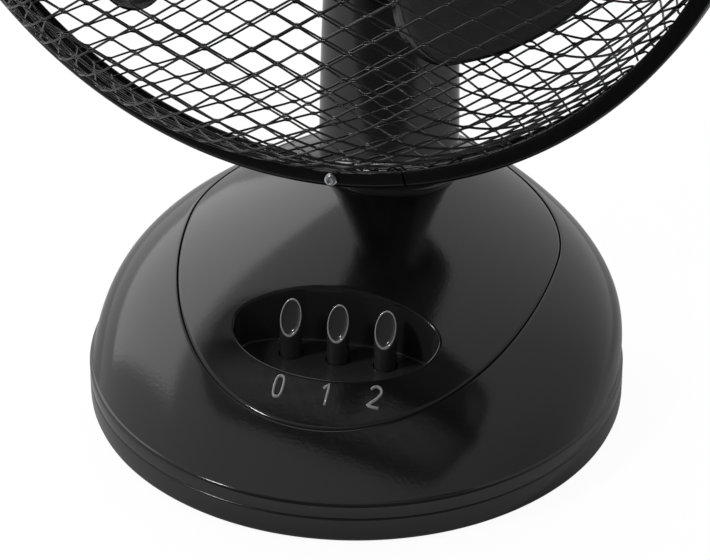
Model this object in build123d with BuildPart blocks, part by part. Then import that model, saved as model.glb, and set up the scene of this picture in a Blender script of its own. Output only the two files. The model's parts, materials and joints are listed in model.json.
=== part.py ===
"""Desk fan with an oscillating head: a domed round base with three push keys, an oval neck,
a tilting and swivelling motor head, and a three-bladed fan between two domed mesh guards.

Millimetres, +Z up.  The origin is the point of the floor under the centre of the round base,
and the fan faces -Y.
"""
import math
import os

from build123d import *

os.makedirs("parts", exist_ok=True)

# ---------------------------------------------------------------- base, driving dimensions
base_radius = 87.5  # outside of the skirt
foot_proud = 0.8  # how far the rubber feet stand out under the cover
parting_z = 10.0  # joint between the bottom cover and the base shell
rim_z = 15.5  # top of the upright skirt, where the dome begins
rim_step = 1.0  # the dome begins this far inside the skirt
dome_top_z = 58.0  # where the dome is cut flat for the neck
crown_z = 58.5  # where the dome's lines would meet their last values
crown_half_width = 22.8
crown_front_y = 28.0
crown_rear_y = 61.2
wall = 2.2  # moulded walls of the base
edge_break = 0.4
cover_edge_round = 2.0

# oval control panel let into the dome
panel_centre_y = 23.0
panel_half_width = 62.4
panel_front_reach = 87.2
panel_rear_reach = 51.5
seam_gap = 0.3
ledge_width = 3.0
ledge_thick = 1.6
rest_gap = 0.15

# oval recess with the keys
recess_centre_y = -27.5
recess_half_width = 33.2
recess_front_reach = 19.5
recess_rear_reach = 12.6
recess_floor_z = 26.5
recess_wall = 1.8

key_count = 3
key_pitch = 15.5
key_y = -25.0
key_radius = 3.6
key_gap = 0.45
key_front_height = 8.3  # above the recess floor
key_back_height = 19.2
key_flange_radius = 4.9
key_flange = 1.4
key_stem_radius = 2.0
key_stem_gap = 0.3
key_rest_gap = 0.3

digit_height = 7.4
digit_width = 4.4
digit_stroke = 0.9
digit_raise = 0.5
digit_y = -50.8

switch_length = 50.0
switch_depth = 15.0
switch_top = 10.0
switch_well_floor = 4.5
stem_end = 9.2
spring_radius = 3.3
spring_wire = 0.3
spring_turns = 5

# feet, screws, weight, cord inlet
foot_radius = 7.0
foot_thick = 2.0
foot_circle = 70.0
front_screw_x = 47.0
front_screw_y = -47.0
rear_screw_x = 64.0
rear_screw_y = 37.0
screw_head_radius = 2.9
screw_head = 1.8
screw_radius = 1.45
screw_length = 12.0
screw_seat = 4.0  # depth of the counterbore under the cover
screw_gap = 0.1
screw_hole_gap = 0.35
boss_radius = 4.5
weight_radius = 36.0
weight_thick = 9.0
weight_y = 34.0
weight_post_x = 24.0
weight_post_radius = 5.5
weight_hole_gap = 0.3
inlet_radius = 3.1
bush_radius = 4.4
bush_gap = 0.05
bush_flange_radius = 5.8
bush_flange = 1.4
bush_collar = 2.0
bush_inner_y = 83.9

# ---------------------------------------------------------------- neck
neck_foot_half_width = 23.4
neck_foot_half_depth = 19.5
neck_foot_y = 46.0
neck_mid_half_width = 22.8
neck_mid_half_depth = 18.4
neck_mid_y = 47.0
neck_mid_z = 100.0
neck_top_half_width = 20.5
neck_top_half_depth = 16.5
neck_top_y = 45.5
neck_wall = 2.4
neck_below_bolt = 14.0  # neck top under the tilt bolt
neck_boss_x = 17.2
neck_boss_height = 16.0
neck_pad = 4.0  # thickening of the panel under the neck
lead_hole_radius = 5.0
ear_thick = 5.0
ear_half_gap = 11.0
ear_radius = 10.0

# ---------------------------------------------------------------- tilt and swivel
bolt_y = 44.0
bolt_z = 157.5
bolt_radius = 3.0
bolt_fit = 0.05
bolt_head_radius = 6.5
bolt_head = 4.0
nut_radius = 6.0
nut_thick = 5.0
tilt_rest = 6.1  # degrees that the head looks up at rest
pan_rest = 10.3  # degrees that the head has swung to its right at rest
axis_above_bolt = 74.0  # motor axis above the tilt bolt
side_gap = 0.3
block_half_depth = 9.0
block_height = 12.5  # above the bolt
block_flange = 1.8
block_flange_half_width = 15.0
pin_radius = 3.5
pin_fit = 0.05
press_gap = 0.02
pin_seat = 8.0
thrust_thick = 1.0
thrust_gap = 0.1
thrust_radius = 6.0
socket_height = 14.6
leg_half_width = 6.0
leg_lift = 0.8  # the leg stops this far above the link
clip_radius = 4.6
clip_thick = 1.0

# oscillating link, hung under the motor
worm_radius = 5.0
wheel_radius = 7.0
mesh_gap = 0.3
worm_length = 14.0
worm_forward = -24.0  # middle of the worm along the motor axis
wheel_thick = 5.0
crank_shaft_radius = 2.5
crank_shaft_above = 7.0
crank_above_block = 4.5  # underside of the crank disc over the tilt block
crank_thick = 3.0
crank_radius = 8.9
crank_throw = 6.7
crank_pin_radius = 1.4
crank_pin_length = 1.0
link_above_block = 1.6
link_thick = 1.6
link_end_radius = 3.4
link_half_width = 1.7
stud_radius = 1.2
stud_fit = 0.05

# ---------------------------------------------------------------- motor, along the fan axis
plate_thick = 3.5
plate_radius = 40.0
rear_plate_back = -6.0
front_plate_front = 34.0
bearing_boss_radius = 10.0
bearing_radius = 7.0
bearing_length = 8.0
running_fit = 0.03
stator_back = 6.0
stator_length = 18.0
stator_radius = 37.0
stator_bore = 19.0
air_gap = 0.35
coil_end = 5.0
coil_inner = 20.8
coil_outer = 28.5
slot_count = 6
slot_radius = 1.7
slot_circle = 24.5
pillar_radius = 3.2
motor_screw_circle = 33.0
motor_screw_count = 4
shaft_radius = 4.0
shaft_tail_radius = 3.0
shaft_tail_forward = -8.0
shaft_back = -34.0
collar_radius = 16.0
collar_length = 9.0
gear_case_back = -38.0
gear_case_left = -13.0
gear_case_right = 23.0
gear_case_half_height = 12.0
gear_case_wall = 2.0
cover_boss_radius = 4.0
cover_radius = 44.0
cover_wall = 2.0
cover_back = -50.0
cover_shoulder = 20.0
cover_end_radius = 32.0
chin_radius = 30.0
chin_forward = -10.0
chin_above_block = 0.5
knob_radius = 7.0
knob_height = 13.0
knob_base = 44.8
knob_stem_radius = 2.6
knob_stem_gap = 0.4
knob_stem_end = 14.0
knob_flange_radius = 4.2
knob_flange_up = 31.0
knob_flange = 1.5

# ---------------------------------------------------------------- guards, ring and blade
ring_face = 74.0  # front face of the ring, forward of the swivel axis
ring_radius = 142.5
ring_depth = 9.0
ring_flange = 5.5
ring_sheet = 1.2
ring_slit = 0.6
ring_slit_turn = -74.0  # degrees, seen from the front
ring_screw_turn = -83.9
guard_clock = 7.4  # degrees that the guards sit turned round the axis
net_thick = 1.6
rim_gap = 0.1
bead_depth = 3.1
bead_width = 3.7
net_foot_radius = 136.4
net_wall = 18.0
net_slant = 6.2
crown_edge_radius = 112.0
crown_fall = 4.5
bend_radius = 127.0  # the shoulder's round passes through this radius
bend_fall = 10.8  # and this far under the net's top
cell_width = 28.0
cell_height = 17.0
strand = 2.0
cell_reach = 123.0
wall_gap_count = 26  # diamond gaps in each row round the shoulder
wall_gap_rows = 3
wall_gap_first = 1.2  # steps from the net's foot to the lowest row
wall_gap_spare = 0.8  # steps left over beyond the rows
wall_gap_half_width = 13.2
wall_gap_half_height = 0.78  # in steps
front_net_depth = 40.8
rear_net_depth = 35.4
seat_radius = 28.0
seat_gap = 0.3
guard_nut_radius = 27.0
guard_nut_thick = 7.0
guard_nut_fit = 0.05
dish_gap = 0.4  # the net dishes by this much under the nut and the clip
badge_radius = 24.0
badge_thick = 3.0
badge_stem_radius = 4.0
badge_stem_length = 5.0
badge_clip_radius = 9.0
badge_clip_thick = 1.2
badge_seat_radius = 12.0
ring_screw_head_radius = 2.1
ring_screw_head = 1.6
ring_screw_radius = 1.3
ring_screw_circle = 139.7
ring_nut_radius = 2.6
ring_nut_thick = 2.4

blade_count = 3
blade_tip_radius = 115.0
blade_thick = 2.0
blade_turn = -37.0  # direction of the first blade, degrees, seen from the front
blade_root_reach = 12.0
blade_root_half = 14.0
blade_tip_half_angle = 41.0
blade_tip_round = 16.0
blade_root_pitch = 34.0
blade_tip_pitch = 10.0
blade_forward = 57.0
hub_radius = 19.0
hub_back = 46.0
hub_length = 26.0
hub_wall = 2.6
hub_boss_radius = 8.0
spinner_radius = 12.0
spinner_length = 15.0
spinner_bore = 11.0

# ---------------------------------------------------------------- places worked out from these
tilt = math.radians(tilt_rest)
pan = math.radians(pan_rest)
swivel_up = Vector(0, math.sin(tilt), math.cos(tilt))
level_forward = Vector(0, -math.cos(tilt), math.sin(tilt))
bolt_point = Vector(0, bolt_y, bolt_z)
motor_point = bolt_point + swivel_up * axis_above_bolt
head_forward = level_forward * math.cos(pan) + Vector(-1, 0, 0) * math.sin(pan)
head_right = swivel_up.cross(head_forward)

# in these planes X is the fan's own right, and Z is forward, up or sideways
head_face = Plane(origin=motor_point, x_dir=head_right, z_dir=head_forward)
head_top = Plane(origin=motor_point, x_dir=head_right, z_dir=swivel_up)
head_side = Plane(origin=motor_point, x_dir=head_right, z_dir=head_right.cross(head_forward))
tilt_top = Plane(origin=motor_point, x_dir=(1, 0, 0), z_dir=swivel_up)
fan_axis = Axis(motor_point, head_forward)
clock = math.radians(guard_clock)
guard_right = head_right * math.cos(clock) + swivel_up * math.sin(clock)
guard_face = Plane(origin=motor_point, x_dir=guard_right, z_dir=head_forward)
bolt_side = Plane(origin=bolt_point, x_dir=(0, 1, 0), z_dir=(1, 0, 0))
tilt_side = Plane(origin=bolt_point, x_dir=tilt_top.y_dir, z_dir=(1, 0, 0))

cover_floor = foot_proud + wall
wheel_reach = worm_radius + wheel_radius + mesh_gap
neck_top_z = bolt_z - neck_below_bolt
key_xs = [(i - (key_count - 1) / 2) * key_pitch for i in range(key_count)]

# where the link's two ends sit at rest, in the head's own right and backward directions
stud_place = (wheel_reach * math.cos(pan), wheel_reach * math.sin(pan))
link_length = -worm_forward
stud_to_wheel = (wheel_reach - stud_place[0], link_length - stud_place[1])
span = math.hypot(*stud_to_wheel)
crank_lead = math.acos((link_length**2 - span**2 - crank_throw**2) / (2 * crank_throw * span))
crank_turn = math.atan2(stud_to_wheel[1], stud_to_wheel[0]) + crank_lead
crank_pin_place = (
    wheel_reach + crank_throw * math.cos(crank_turn),
    link_length + crank_throw * math.sin(crank_turn),
)


def finish(piece, name):
    """Names a finished piece and writes it."""
    piece.part.label = name
    export_step(piece.part, f"parts/{name}.step")
    print(name, len(piece.part.solids()), round(piece.part.volume, 1))


def rise(share, power, root):
    """How far a dome line has moved from its rim to its crown, 0 to 1."""
    return 1 - max(1 - share**power, 0) ** (1 / root)


def dome(inset):
    """The solid under the base's domed top, drawn in by inset on every side."""
    rim = base_radius - rim_step
    top_share = (dome_top_z - rim_z) / (crown_z - rim_z)
    with BuildPart() as solid:
        for share in (0, 0.1, 0.22, 0.35, 0.48, 0.6, 0.72, 0.82, 0.9, 0.95, top_share):
            half_width = rim - (rim - crown_half_width) * rise(share, 2.51, 1)
            front = (rim + crown_front_y) * rise(share, 1, 1.3) - rim
            rear = rim - (rim - crown_rear_y) * rise(share, 8, 3.3)
            level = rim_z + (crown_z - rim_z) * share - inset
            with BuildSketch(Plane((0, (front + rear) / 2, level))):
                Ellipse(half_width - inset, (rear - front) / 2 - inset)
        loft()
    return solid.part


def two_part_oval(centre_y, half_width, front_reach, rear_reach):
    """An oval whose front and rear halves reach different distances from its widest line."""
    with BuildSketch() as outline:
        with BuildLine():
            EllipticalCenterArc((0, centre_y), half_width, rear_reach, 0, arc_size=180)
            EllipticalCenterArc((0, centre_y), half_width, front_reach, 180, arc_size=180)
        make_face()
    return outline.sketch


def panel_outline(grow):
    """The control panel's oval."""
    return two_part_oval(
        panel_centre_y, panel_half_width + grow, panel_front_reach + grow, panel_rear_reach + grow
    )


def recess_outline(grow):
    """The recess's oval."""
    return two_part_oval(
        recess_centre_y, recess_half_width + grow, recess_front_reach + grow, recess_rear_reach + grow
    )


base_screw_points = [
    (-front_screw_x, front_screw_y),
    (front_screw_x, front_screw_y),
    (-rear_screw_x, rear_screw_y),
    (rear_screw_x, rear_screw_y),
]
weight_points = [(-weight_post_x, weight_y), (weight_post_x, weight_y)]
foot_points = [(foot_circle, 0), (0, foot_circle), (-foot_circle, 0), (0, -foot_circle)]
neck_screw_points = [(-neck_boss_x, neck_foot_y), (neck_boss_x, neck_foot_y)]
dome_outside = dome(0)
dome_inside = dome(wall)

# ---------------------------------------------------------------- bottom cover and feet
weight_top = cover_floor + weight_thick
with BuildPart() as bottom_cover:
    with BuildSketch(Plane.XZ):
        with BuildLine():
            Polyline(
                (0, foot_proud),
                (base_radius - cover_edge_round, foot_proud),
                (base_radius, foot_proud + cover_edge_round),
                (base_radius, parting_z - edge_break),
                (base_radius - edge_break, parting_z),
                (base_radius - wall, parting_z),
                (base_radius - wall, cover_floor),
                (0, cover_floor),
                close=True,
            )
        make_face()
    revolve(axis=Axis.Z)
    with BuildSketch(Plane.XY.offset(foot_proud)):
        with Locations(*base_screw_points):
            Circle(boss_radius)
    extrude(amount=parting_z - foot_proud)
    with BuildSketch(Plane.XY.offset(foot_proud)):
        with Locations(*weight_points):
            Circle(boss_radius)
    extrude(amount=weight_top - foot_proud)
    with BuildSketch(Plane.XY.offset(foot_proud)):
        with Locations(*foot_points):
            Circle(foot_radius + screw_gap)
    extrude(amount=foot_thick - foot_proud, mode=Mode.SUBTRACT)
    with BuildSketch(Plane.XY.offset(foot_proud)):
        with Locations(*base_screw_points, *weight_points):
            Circle(screw_head_radius + screw_hole_gap)
    extrude(amount=screw_seat, mode=Mode.SUBTRACT)
    with BuildSketch(Plane.XY.offset(foot_proud)):
        with Locations(*base_screw_points, *weight_points):
            Circle(screw_radius + screw_hole_gap)
    extrude(amount=weight_top, mode=Mode.SUBTRACT)
    with BuildSketch(Plane.XZ.offset(-base_radius - wall)):
        with Locations((0, parting_z)):
            Circle(bush_radius + bush_gap)
    extrude(amount=3 * wall, mode=Mode.SUBTRACT)
finish(bottom_cover, "bottom_cover")

with BuildPart() as rubber_feet:
    with BuildSketch(Plane.XY):
        with Locations(*foot_points):
            Circle(foot_radius)
    extrude(amount=foot_thick)
    chamfer(rubber_feet.edges().group_by(Axis.Z)[0], edge_break)
finish(rubber_feet, "rubber_feet")

with BuildPart() as base_screws:
    with BuildSketch(Plane.XY.offset(foot_proud + screw_seat)):
        with Locations(*base_screw_points, *weight_points):
            Circle(screw_radius)
    extrude(amount=screw_length)
    with BuildSketch(Plane.XY.offset(foot_proud + screw_seat)):
        with Locations(*base_screw_points, *weight_points):
            Circle(screw_head_radius)
    extrude(amount=-screw_head)
finish(base_screws, "base_screws")

# ---------------------------------------------------------------- base shell
with BuildPart() as panel_pocket:
    with BuildSketch(Plane.XY.offset(rim_z)):
        add(panel_outline(0))
    extrude(amount=dome_top_z)
    add(dome(wall + rest_gap), mode=Mode.SUBTRACT)

with BuildPart() as panel_ledge:
    with BuildSketch(Plane.XY.offset(rim_z)):
        add(panel_outline(ledge_width))
        add(panel_outline(-ledge_width), mode=Mode.SUBTRACT)
    extrude(amount=dome_top_z)
    add(dome(wall / 2), mode=Mode.INTERSECT)
    add(dome(wall + ledge_thick), mode=Mode.SUBTRACT)

with BuildPart() as shell_posts:
    with BuildSketch(Plane.XY.offset(parting_z)):
        with Locations(*base_screw_points):
            Circle(boss_radius)
    extrude(amount=dome_top_z)
    add(dome(wall / 2), mode=Mode.INTERSECT)
    with BuildSketch(Plane.XY.offset(parting_z)):
        with Locations(*base_screw_points):
            Circle(boss_radius)
    extrude(amount=rim_z - parting_z)

with BuildPart() as base_shell:
    with BuildSketch(Plane.XZ):
        with BuildLine():
            Polyline(
                (0, parting_z),
                (base_radius - edge_break, parting_z),
                (base_radius, parting_z + edge_break),
                (base_radius, rim_z - rim_step),
                (base_radius - rim_step, rim_z),
                (0, rim_z),
                close=True,
            )
        make_face()
    revolve(axis=Axis.Z)
    add(dome_outside)
    with BuildSketch(Plane.XY.offset(parting_z)):
        Circle(base_radius - wall)
    extrude(amount=rim_z - wall - parting_z, mode=Mode.SUBTRACT)
    add(dome_inside, mode=Mode.SUBTRACT)
    add(panel_ledge.part)
    add(shell_posts.part)
    add(panel_pocket.part, mode=Mode.SUBTRACT)
    with BuildSketch(Plane.XY.offset(parting_z)):
        with Locations(*base_screw_points):
            Circle(screw_radius + screw_gap)
    extrude(amount=screw_length - screw_seat, mode=Mode.SUBTRACT)
    with BuildSketch(Plane.XZ.offset(-base_radius - wall)):
        with Locations((0, parting_z)):
            Circle(bush_radius + bush_gap)
    extrude(amount=3 * wall, mode=Mode.SUBTRACT)
finish(base_shell, "base_shell")

# ---------------------------------------------------------------- control panel
def digit_zero():
    """An upright oval ring."""
    with BuildSketch() as digit:
        Ellipse(digit_width / 2, digit_height / 2)
        Ellipse(digit_width / 2 - digit_stroke, digit_height / 2 - digit_stroke, mode=Mode.SUBTRACT)
    return digit.sketch


def digit_one():
    """A single upright stroke."""
    with BuildSketch() as digit:
        Rectangle(digit_stroke, digit_height)
    return digit.sketch


def digit_two():
    """Three level strokes joined on the right above and on the left below."""
    side = (digit_width - digit_stroke) / 2
    level = (digit_height - digit_stroke) / 2
    with BuildSketch() as digit:
        with Locations((0, level), (0, 0), (0, -level)):
            Rectangle(digit_width, digit_stroke)
        with Locations((side, level / 2), (-side, -level / 2)):
            Rectangle(digit_stroke, level + digit_stroke)
    return digit.sketch


with BuildPart() as raised_digits:
    with BuildSketch(Plane.XY.offset(rim_z)):
        for x, digit in zip(key_xs, (digit_zero(), digit_one(), digit_two())):
            with Locations((x, digit_y)):
                add(digit)
    extrude(amount=dome_top_z)
    add(dome_outside.moved(Location((0, 0, digit_raise))), mode=Mode.INTERSECT)
    add(dome(wall / 2), mode=Mode.SUBTRACT)

with BuildPart() as recess_tub:
    with BuildSketch(Plane.XY.offset(recess_floor_z - recess_wall)):
        add(recess_outline(recess_wall))
    extrude(amount=dome_top_z)
    add(dome(wall / 2), mode=Mode.INTERSECT)

with BuildPart() as panel_posts:
    with BuildSketch(Plane.XY.offset(weight_top)):
        with Locations(*weight_points):
            Circle(weight_post_radius)
    extrude(amount=dome_top_z)
    with BuildSketch(Plane.XY.offset(dome_top_z - wall - neck_pad)):
        with Locations((0, neck_foot_y)):
            Ellipse(neck_foot_half_width - neck_wall / 2, neck_foot_half_depth)
    extrude(amount=neck_pad)
    add(dome(wall / 2), mode=Mode.INTERSECT)

with BuildPart() as control_panel:
    with BuildSketch(Plane.XY.offset(rim_z)):
        add(panel_outline(-seam_gap))
    extrude(amount=dome_top_z)
    add(dome_outside, mode=Mode.INTERSECT)
    add(dome_inside, mode=Mode.SUBTRACT)
    add(recess_tub.part)
    add(panel_posts.part)
    add(raised_digits.part)
    with BuildSketch(Plane.XY.offset(recess_floor_z)):
        add(recess_outline(0))
    extrude(amount=dome_top_z, mode=Mode.SUBTRACT)
    with BuildSketch(Plane.XY.offset(recess_floor_z - recess_wall)):
        with Locations(*[(x, key_y) for x in key_xs]):
            Circle(key_radius + key_gap)
    extrude(amount=recess_wall, mode=Mode.SUBTRACT)
    with BuildSketch(Plane.XY.offset(weight_top)):
        with Locations(*weight_points):
            Circle(screw_radius + screw_gap)
    extrude(amount=screw_length - screw_seat, mode=Mode.SUBTRACT)
    with BuildSketch(Plane.XY.offset(dome_top_z - wall - neck_pad)):
        with Locations(*neck_screw_points):
            Circle(screw_radius + screw_hole_gap)
        with Locations((0, neck_foot_y)):
            Circle(lead_hole_radius)
    extrude(amount=wall + neck_pad, mode=Mode.SUBTRACT)
finish(control_panel, "control_panel")

# ---------------------------------------------------------------- keys, springs and switch
floor_under = recess_floor_z - recess_wall
flange_top = floor_under - key_rest_gap
flange_under = flange_top - key_flange
for i, x in enumerate(key_xs):
    with BuildPart() as key:
        with BuildSketch(Plane.XY.offset(flange_under)):
            with Locations((x, key_y)):
                Circle(key_flange_radius)
        extrude(amount=key_flange)
        with BuildSketch(Plane.XY.offset(flange_under)):
            with Locations((x, key_y)):
                Circle(key_radius)
        extrude(amount=recess_floor_z + key_back_height - flange_under)
        with BuildSketch(Plane.YZ.offset(x)):
            with BuildLine():
                Polyline(
                    (key_y - key_radius, recess_floor_z + key_front_height),
                    (key_y + key_radius, recess_floor_z + key_back_height),
                    (key_y - key_radius, recess_floor_z + key_back_height),
                    close=True,
                )
            make_face()
        extrude(amount=key_radius, both=True, mode=Mode.SUBTRACT)
        with BuildSketch(Plane.XY.offset(stem_end)):
            with Locations((x, key_y)):
                Circle(key_stem_radius)
        extrude(amount=flange_under - stem_end)
    finish(key, f"key_{i}")

    with BuildPart() as key_spring:
        spring_height = flange_under - switch_top - 2 * spring_wire
        spring_foot = (x, key_y, switch_top + spring_wire)
        with BuildLine():
            coil = Helix(spring_height / spring_turns, spring_height, spring_radius, center=spring_foot)
        with BuildSketch(Plane(coil @ 0, z_dir=coil % 0)):
            Circle(spring_wire)
        sweep()
    finish(key_spring, f"key_spring_{i}")

with BuildPart() as switch_block:
    with BuildSketch(Plane.XY.offset(cover_floor)):
        with Locations((0, key_y)):
            RectangleRounded(switch_length, switch_depth, edge_break)
    extrude(amount=switch_top - cover_floor)
    with BuildSketch(Plane.XY.offset(switch_well_floor)):
        with Locations(*[(x, key_y) for x in key_xs]):
            Circle(key_stem_radius + key_stem_gap)
    extrude(amount=switch_top - switch_well_floor, mode=Mode.SUBTRACT)
finish(switch_block, "switch_block")

# ---------------------------------------------------------------- weight and cord inlet
with BuildPart() as base_weight:
    with BuildSketch(Plane.XY.offset(cover_floor)):
        with Locations((0, weight_y)):
            Circle(weight_radius)
        with Locations(*weight_points):
            Circle(boss_radius + weight_hole_gap, mode=Mode.SUBTRACT)
    extrude(amount=weight_thick)
finish(base_weight, "base_weight")

with BuildPart() as cord_inlet_bush:
    with BuildSketch(Plane.XZ.offset(-bush_inner_y)):
        with Locations((0, parting_z)):
            Circle(bush_radius)
    extrude(amount=bush_inner_y - base_radius - bush_flange - bush_collar)
    with BuildSketch(Plane.XZ.offset(-base_radius)):
        with Locations((0, parting_z)):
            Circle(bush_flange_radius)
    extrude(amount=-bush_flange)
    with BuildSketch(Plane.XZ.offset(-bush_inner_y)):
        with Locations((0, parting_z)):
            Circle(bush_flange_radius)
    extrude(amount=bush_flange)
    with BuildSketch(Plane.XZ.offset(-bush_inner_y + bush_flange)):
        with Locations((0, parting_z)):
            Circle(inlet_radius)
    extrude(amount=-4 * wall - bush_flange, mode=Mode.SUBTRACT)
finish(cord_inlet_bush, "cord_inlet_bush")

# ---------------------------------------------------------------- neck
def neck_solid(inset, top_z):
    """The oval neck from the dome up to a height, drawn in by inset."""
    with BuildPart() as solid:
        with BuildSketch(Plane((0, neck_foot_y, dome_top_z))):
            Ellipse(neck_foot_half_width - inset, neck_foot_half_depth - inset)
        with BuildSketch(Plane((0, neck_mid_y, neck_mid_z))):
            Ellipse(neck_mid_half_width - inset, neck_mid_half_depth - inset)
        with BuildSketch(Plane((0, neck_top_y, top_z))):
            Ellipse(neck_top_half_width - inset, neck_top_half_depth - inset)
        loft()
    return solid.part


with BuildPart() as neck_bosses:
    with BuildSketch(Plane.XY.offset(dome_top_z)):
        with Locations(*neck_screw_points):
            Circle(boss_radius)
    extrude(amount=neck_boss_height)
    add(neck_solid(neck_wall / 2, neck_top_z), mode=Mode.INTERSECT)

with BuildPart() as neck:
    add(neck_solid(0, neck_top_z))
    add(neck_solid(neck_wall, neck_top_z - neck_wall), mode=Mode.SUBTRACT)
    add(neck_bosses.part)
    with BuildSketch(Plane.XY.offset(dome_top_z)):
        with Locations(*neck_screw_points):
            Circle(screw_radius + screw_gap)
    extrude(amount=neck_boss_height - neck_wall, mode=Mode.SUBTRACT)
    for side in (ear_half_gap, -ear_half_gap - ear_thick):
        with BuildSketch(bolt_side.offset(side)):
            Circle(ear_radius)
            with Locations((0, -neck_below_bolt / 2)):
                Rectangle(2 * ear_radius, neck_below_bolt + 0.2 * neck_wall)
        extrude(amount=ear_thick)
    with BuildSketch(bolt_side):
        Circle(bolt_radius + bolt_fit)
    extrude(amount=neck_top_half_width, both=True, mode=Mode.SUBTRACT)
    with BuildSketch(Plane.XY.offset(neck_top_z - 2 * neck_wall)):
        with Locations((0, bolt_y)):
            Circle(lead_hole_radius)
    extrude(amount=3 * neck_wall, mode=Mode.SUBTRACT)
finish(neck, "neck")

with BuildPart() as neck_screws:
    with BuildSketch(Plane.XY.offset(dome_top_z - wall - neck_pad)):
        with Locations(*neck_screw_points):
            Circle(screw_radius)
    extrude(amount=neck_boss_height)
    with BuildSketch(Plane.XY.offset(dome_top_z - wall - neck_pad)):
        with Locations(*neck_screw_points):
            Circle(screw_head_radius)
    extrude(amount=-screw_head)
finish(neck_screws, "neck_screws")

# ---------------------------------------------------------------- tilt joint and swivel pin
ear_outside = ear_half_gap + ear_thick
with BuildPart() as tilt_bolt:
    with BuildSketch(bolt_side.offset(-ear_outside)):
        Circle(bolt_radius)
    extrude(amount=2 * ear_outside + nut_thick)
    with BuildSketch(bolt_side.offset(-ear_outside)):
        Circle(bolt_head_radius)
    extrude(amount=-bolt_head)
finish(tilt_bolt, "tilt_bolt")

with BuildPart() as tilt_nut:
    with BuildSketch(bolt_side.offset(ear_outside)):
        RegularPolygon(nut_radius, 6)
        Circle(bolt_radius + press_gap, mode=Mode.SUBTRACT)
    extrude(amount=nut_thick)
finish(tilt_nut, "tilt_nut")

block_up = block_height - axis_above_bolt  # top of the tilt block in the head's heights
with BuildPart() as tilt_block:
    with BuildSketch(tilt_side):
        Circle(block_half_depth)
        with Locations((0, block_height / 2)):
            Rectangle(2 * block_half_depth, block_height)
    extrude(amount=ear_half_gap - side_gap, both=True)
    with BuildSketch(tilt_top.offset(block_up - block_flange)):
        RectangleRounded(2 * block_flange_half_width, 2 * block_half_depth, 2 * edge_break)
    extrude(amount=block_flange)
    with BuildSketch(tilt_top.offset(block_up)):
        with Locations((wheel_reach, 0)):
            Circle(stud_radius)
    extrude(amount=link_above_block + link_thick)
    with BuildSketch(tilt_side):
        Circle(bolt_radius + bolt_fit)
    extrude(amount=ear_half_gap, both=True, mode=Mode.SUBTRACT)
    with BuildSketch(tilt_top.offset(block_up)):
        Circle(pin_radius + press_gap)
    extrude(amount=-pin_seat, mode=Mode.SUBTRACT)
finish(tilt_block, "tilt_block")

with BuildPart() as thrust_washer:
    with BuildSketch(tilt_top.offset(block_up)):
        Circle(thrust_radius)
        Circle(pin_radius + press_gap, mode=Mode.SUBTRACT)
    extrude(amount=thrust_thick)
finish(thrust_washer, "thrust_washer")

socket_under = block_up + thrust_thick + thrust_gap
socket_top = socket_under + socket_height
leg_under = block_up + link_above_block + link_thick + leg_lift
with BuildPart() as swivel_pin:
    with BuildSketch(tilt_top.offset(block_up - pin_seat)):
        Circle(pin_radius)
    extrude(amount=socket_top + 2 * clip_thick - block_up + pin_seat)
finish(swivel_pin, "swivel_pin")

with BuildPart() as pin_clip:
    with BuildSketch(tilt_top.offset(socket_top + thrust_gap)):
        Circle(clip_radius)
        Circle(pin_radius + press_gap, mode=Mode.SUBTRACT)
    extrude(amount=clip_thick)
finish(pin_clip, "pin_clip")

# ---------------------------------------------------------------- motor
motor_screw_turns = [45 + i * 360 / motor_screw_count for i in range(motor_screw_count)]
motor_screw_points = [
    (motor_screw_circle * math.cos(math.radians(a)), motor_screw_circle * math.sin(math.radians(a)))
    for a in motor_screw_turns
]
rear_plate_front = rear_plate_back + plate_thick
front_plate_back = front_plate_front - plate_thick
stator_front = stator_back + stator_length
with BuildPart() as motor_rear_plate:
    with BuildSketch(head_face.offset(rear_plate_back)):
        Circle(plate_radius)
    extrude(amount=plate_thick)
    with BuildSketch(head_face.offset(rear_plate_front)):
        with Locations(*motor_screw_points):
            Circle(pillar_radius)
    extrude(amount=stator_back - rear_plate_front)
    with BuildSketch(head_face.offset(-bearing_length)):
        Circle(bearing_boss_radius)
    extrude(amount=bearing_length)
    with BuildSketch(head_face.offset(rear_plate_back)):
        with Locations((0, (leg_under - bearing_boss_radius) / 2)):
            Rectangle(2 * leg_half_width, -leg_under - bearing_boss_radius)
    extrude(amount=plate_thick)
    with BuildSketch(head_top.offset(socket_under)):
        Circle(thrust_radius)
    extrude(amount=socket_height)
    with BuildSketch(head_top.offset(socket_under)):
        Circle(pin_radius + pin_fit)
    extrude(amount=socket_height, mode=Mode.SUBTRACT)
    with BuildSketch(head_top.offset(socket_top)):
        Circle(clip_radius + side_gap)
    extrude(amount=3 * clip_thick, mode=Mode.SUBTRACT)
    with BuildSketch(head_face.offset(-bearing_length)):
        Circle(bearing_radius + press_gap)
    extrude(amount=bearing_length, mode=Mode.SUBTRACT)
    with BuildSketch(head_face.offset(rear_plate_back)):
        with Locations(*motor_screw_points):
            Circle(screw_radius + screw_gap)
    extrude(amount=stator_back - rear_plate_back, mode=Mode.SUBTRACT)
finish(motor_rear_plate, "motor_rear_plate")

with BuildPart() as rear_bearing:
    with BuildSketch(head_face.offset(-bearing_length)):
        Circle(bearing_radius)
        Circle(shaft_radius + running_fit, mode=Mode.SUBTRACT)
    extrude(amount=bearing_length)
finish(rear_bearing, "rear_bearing")

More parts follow.
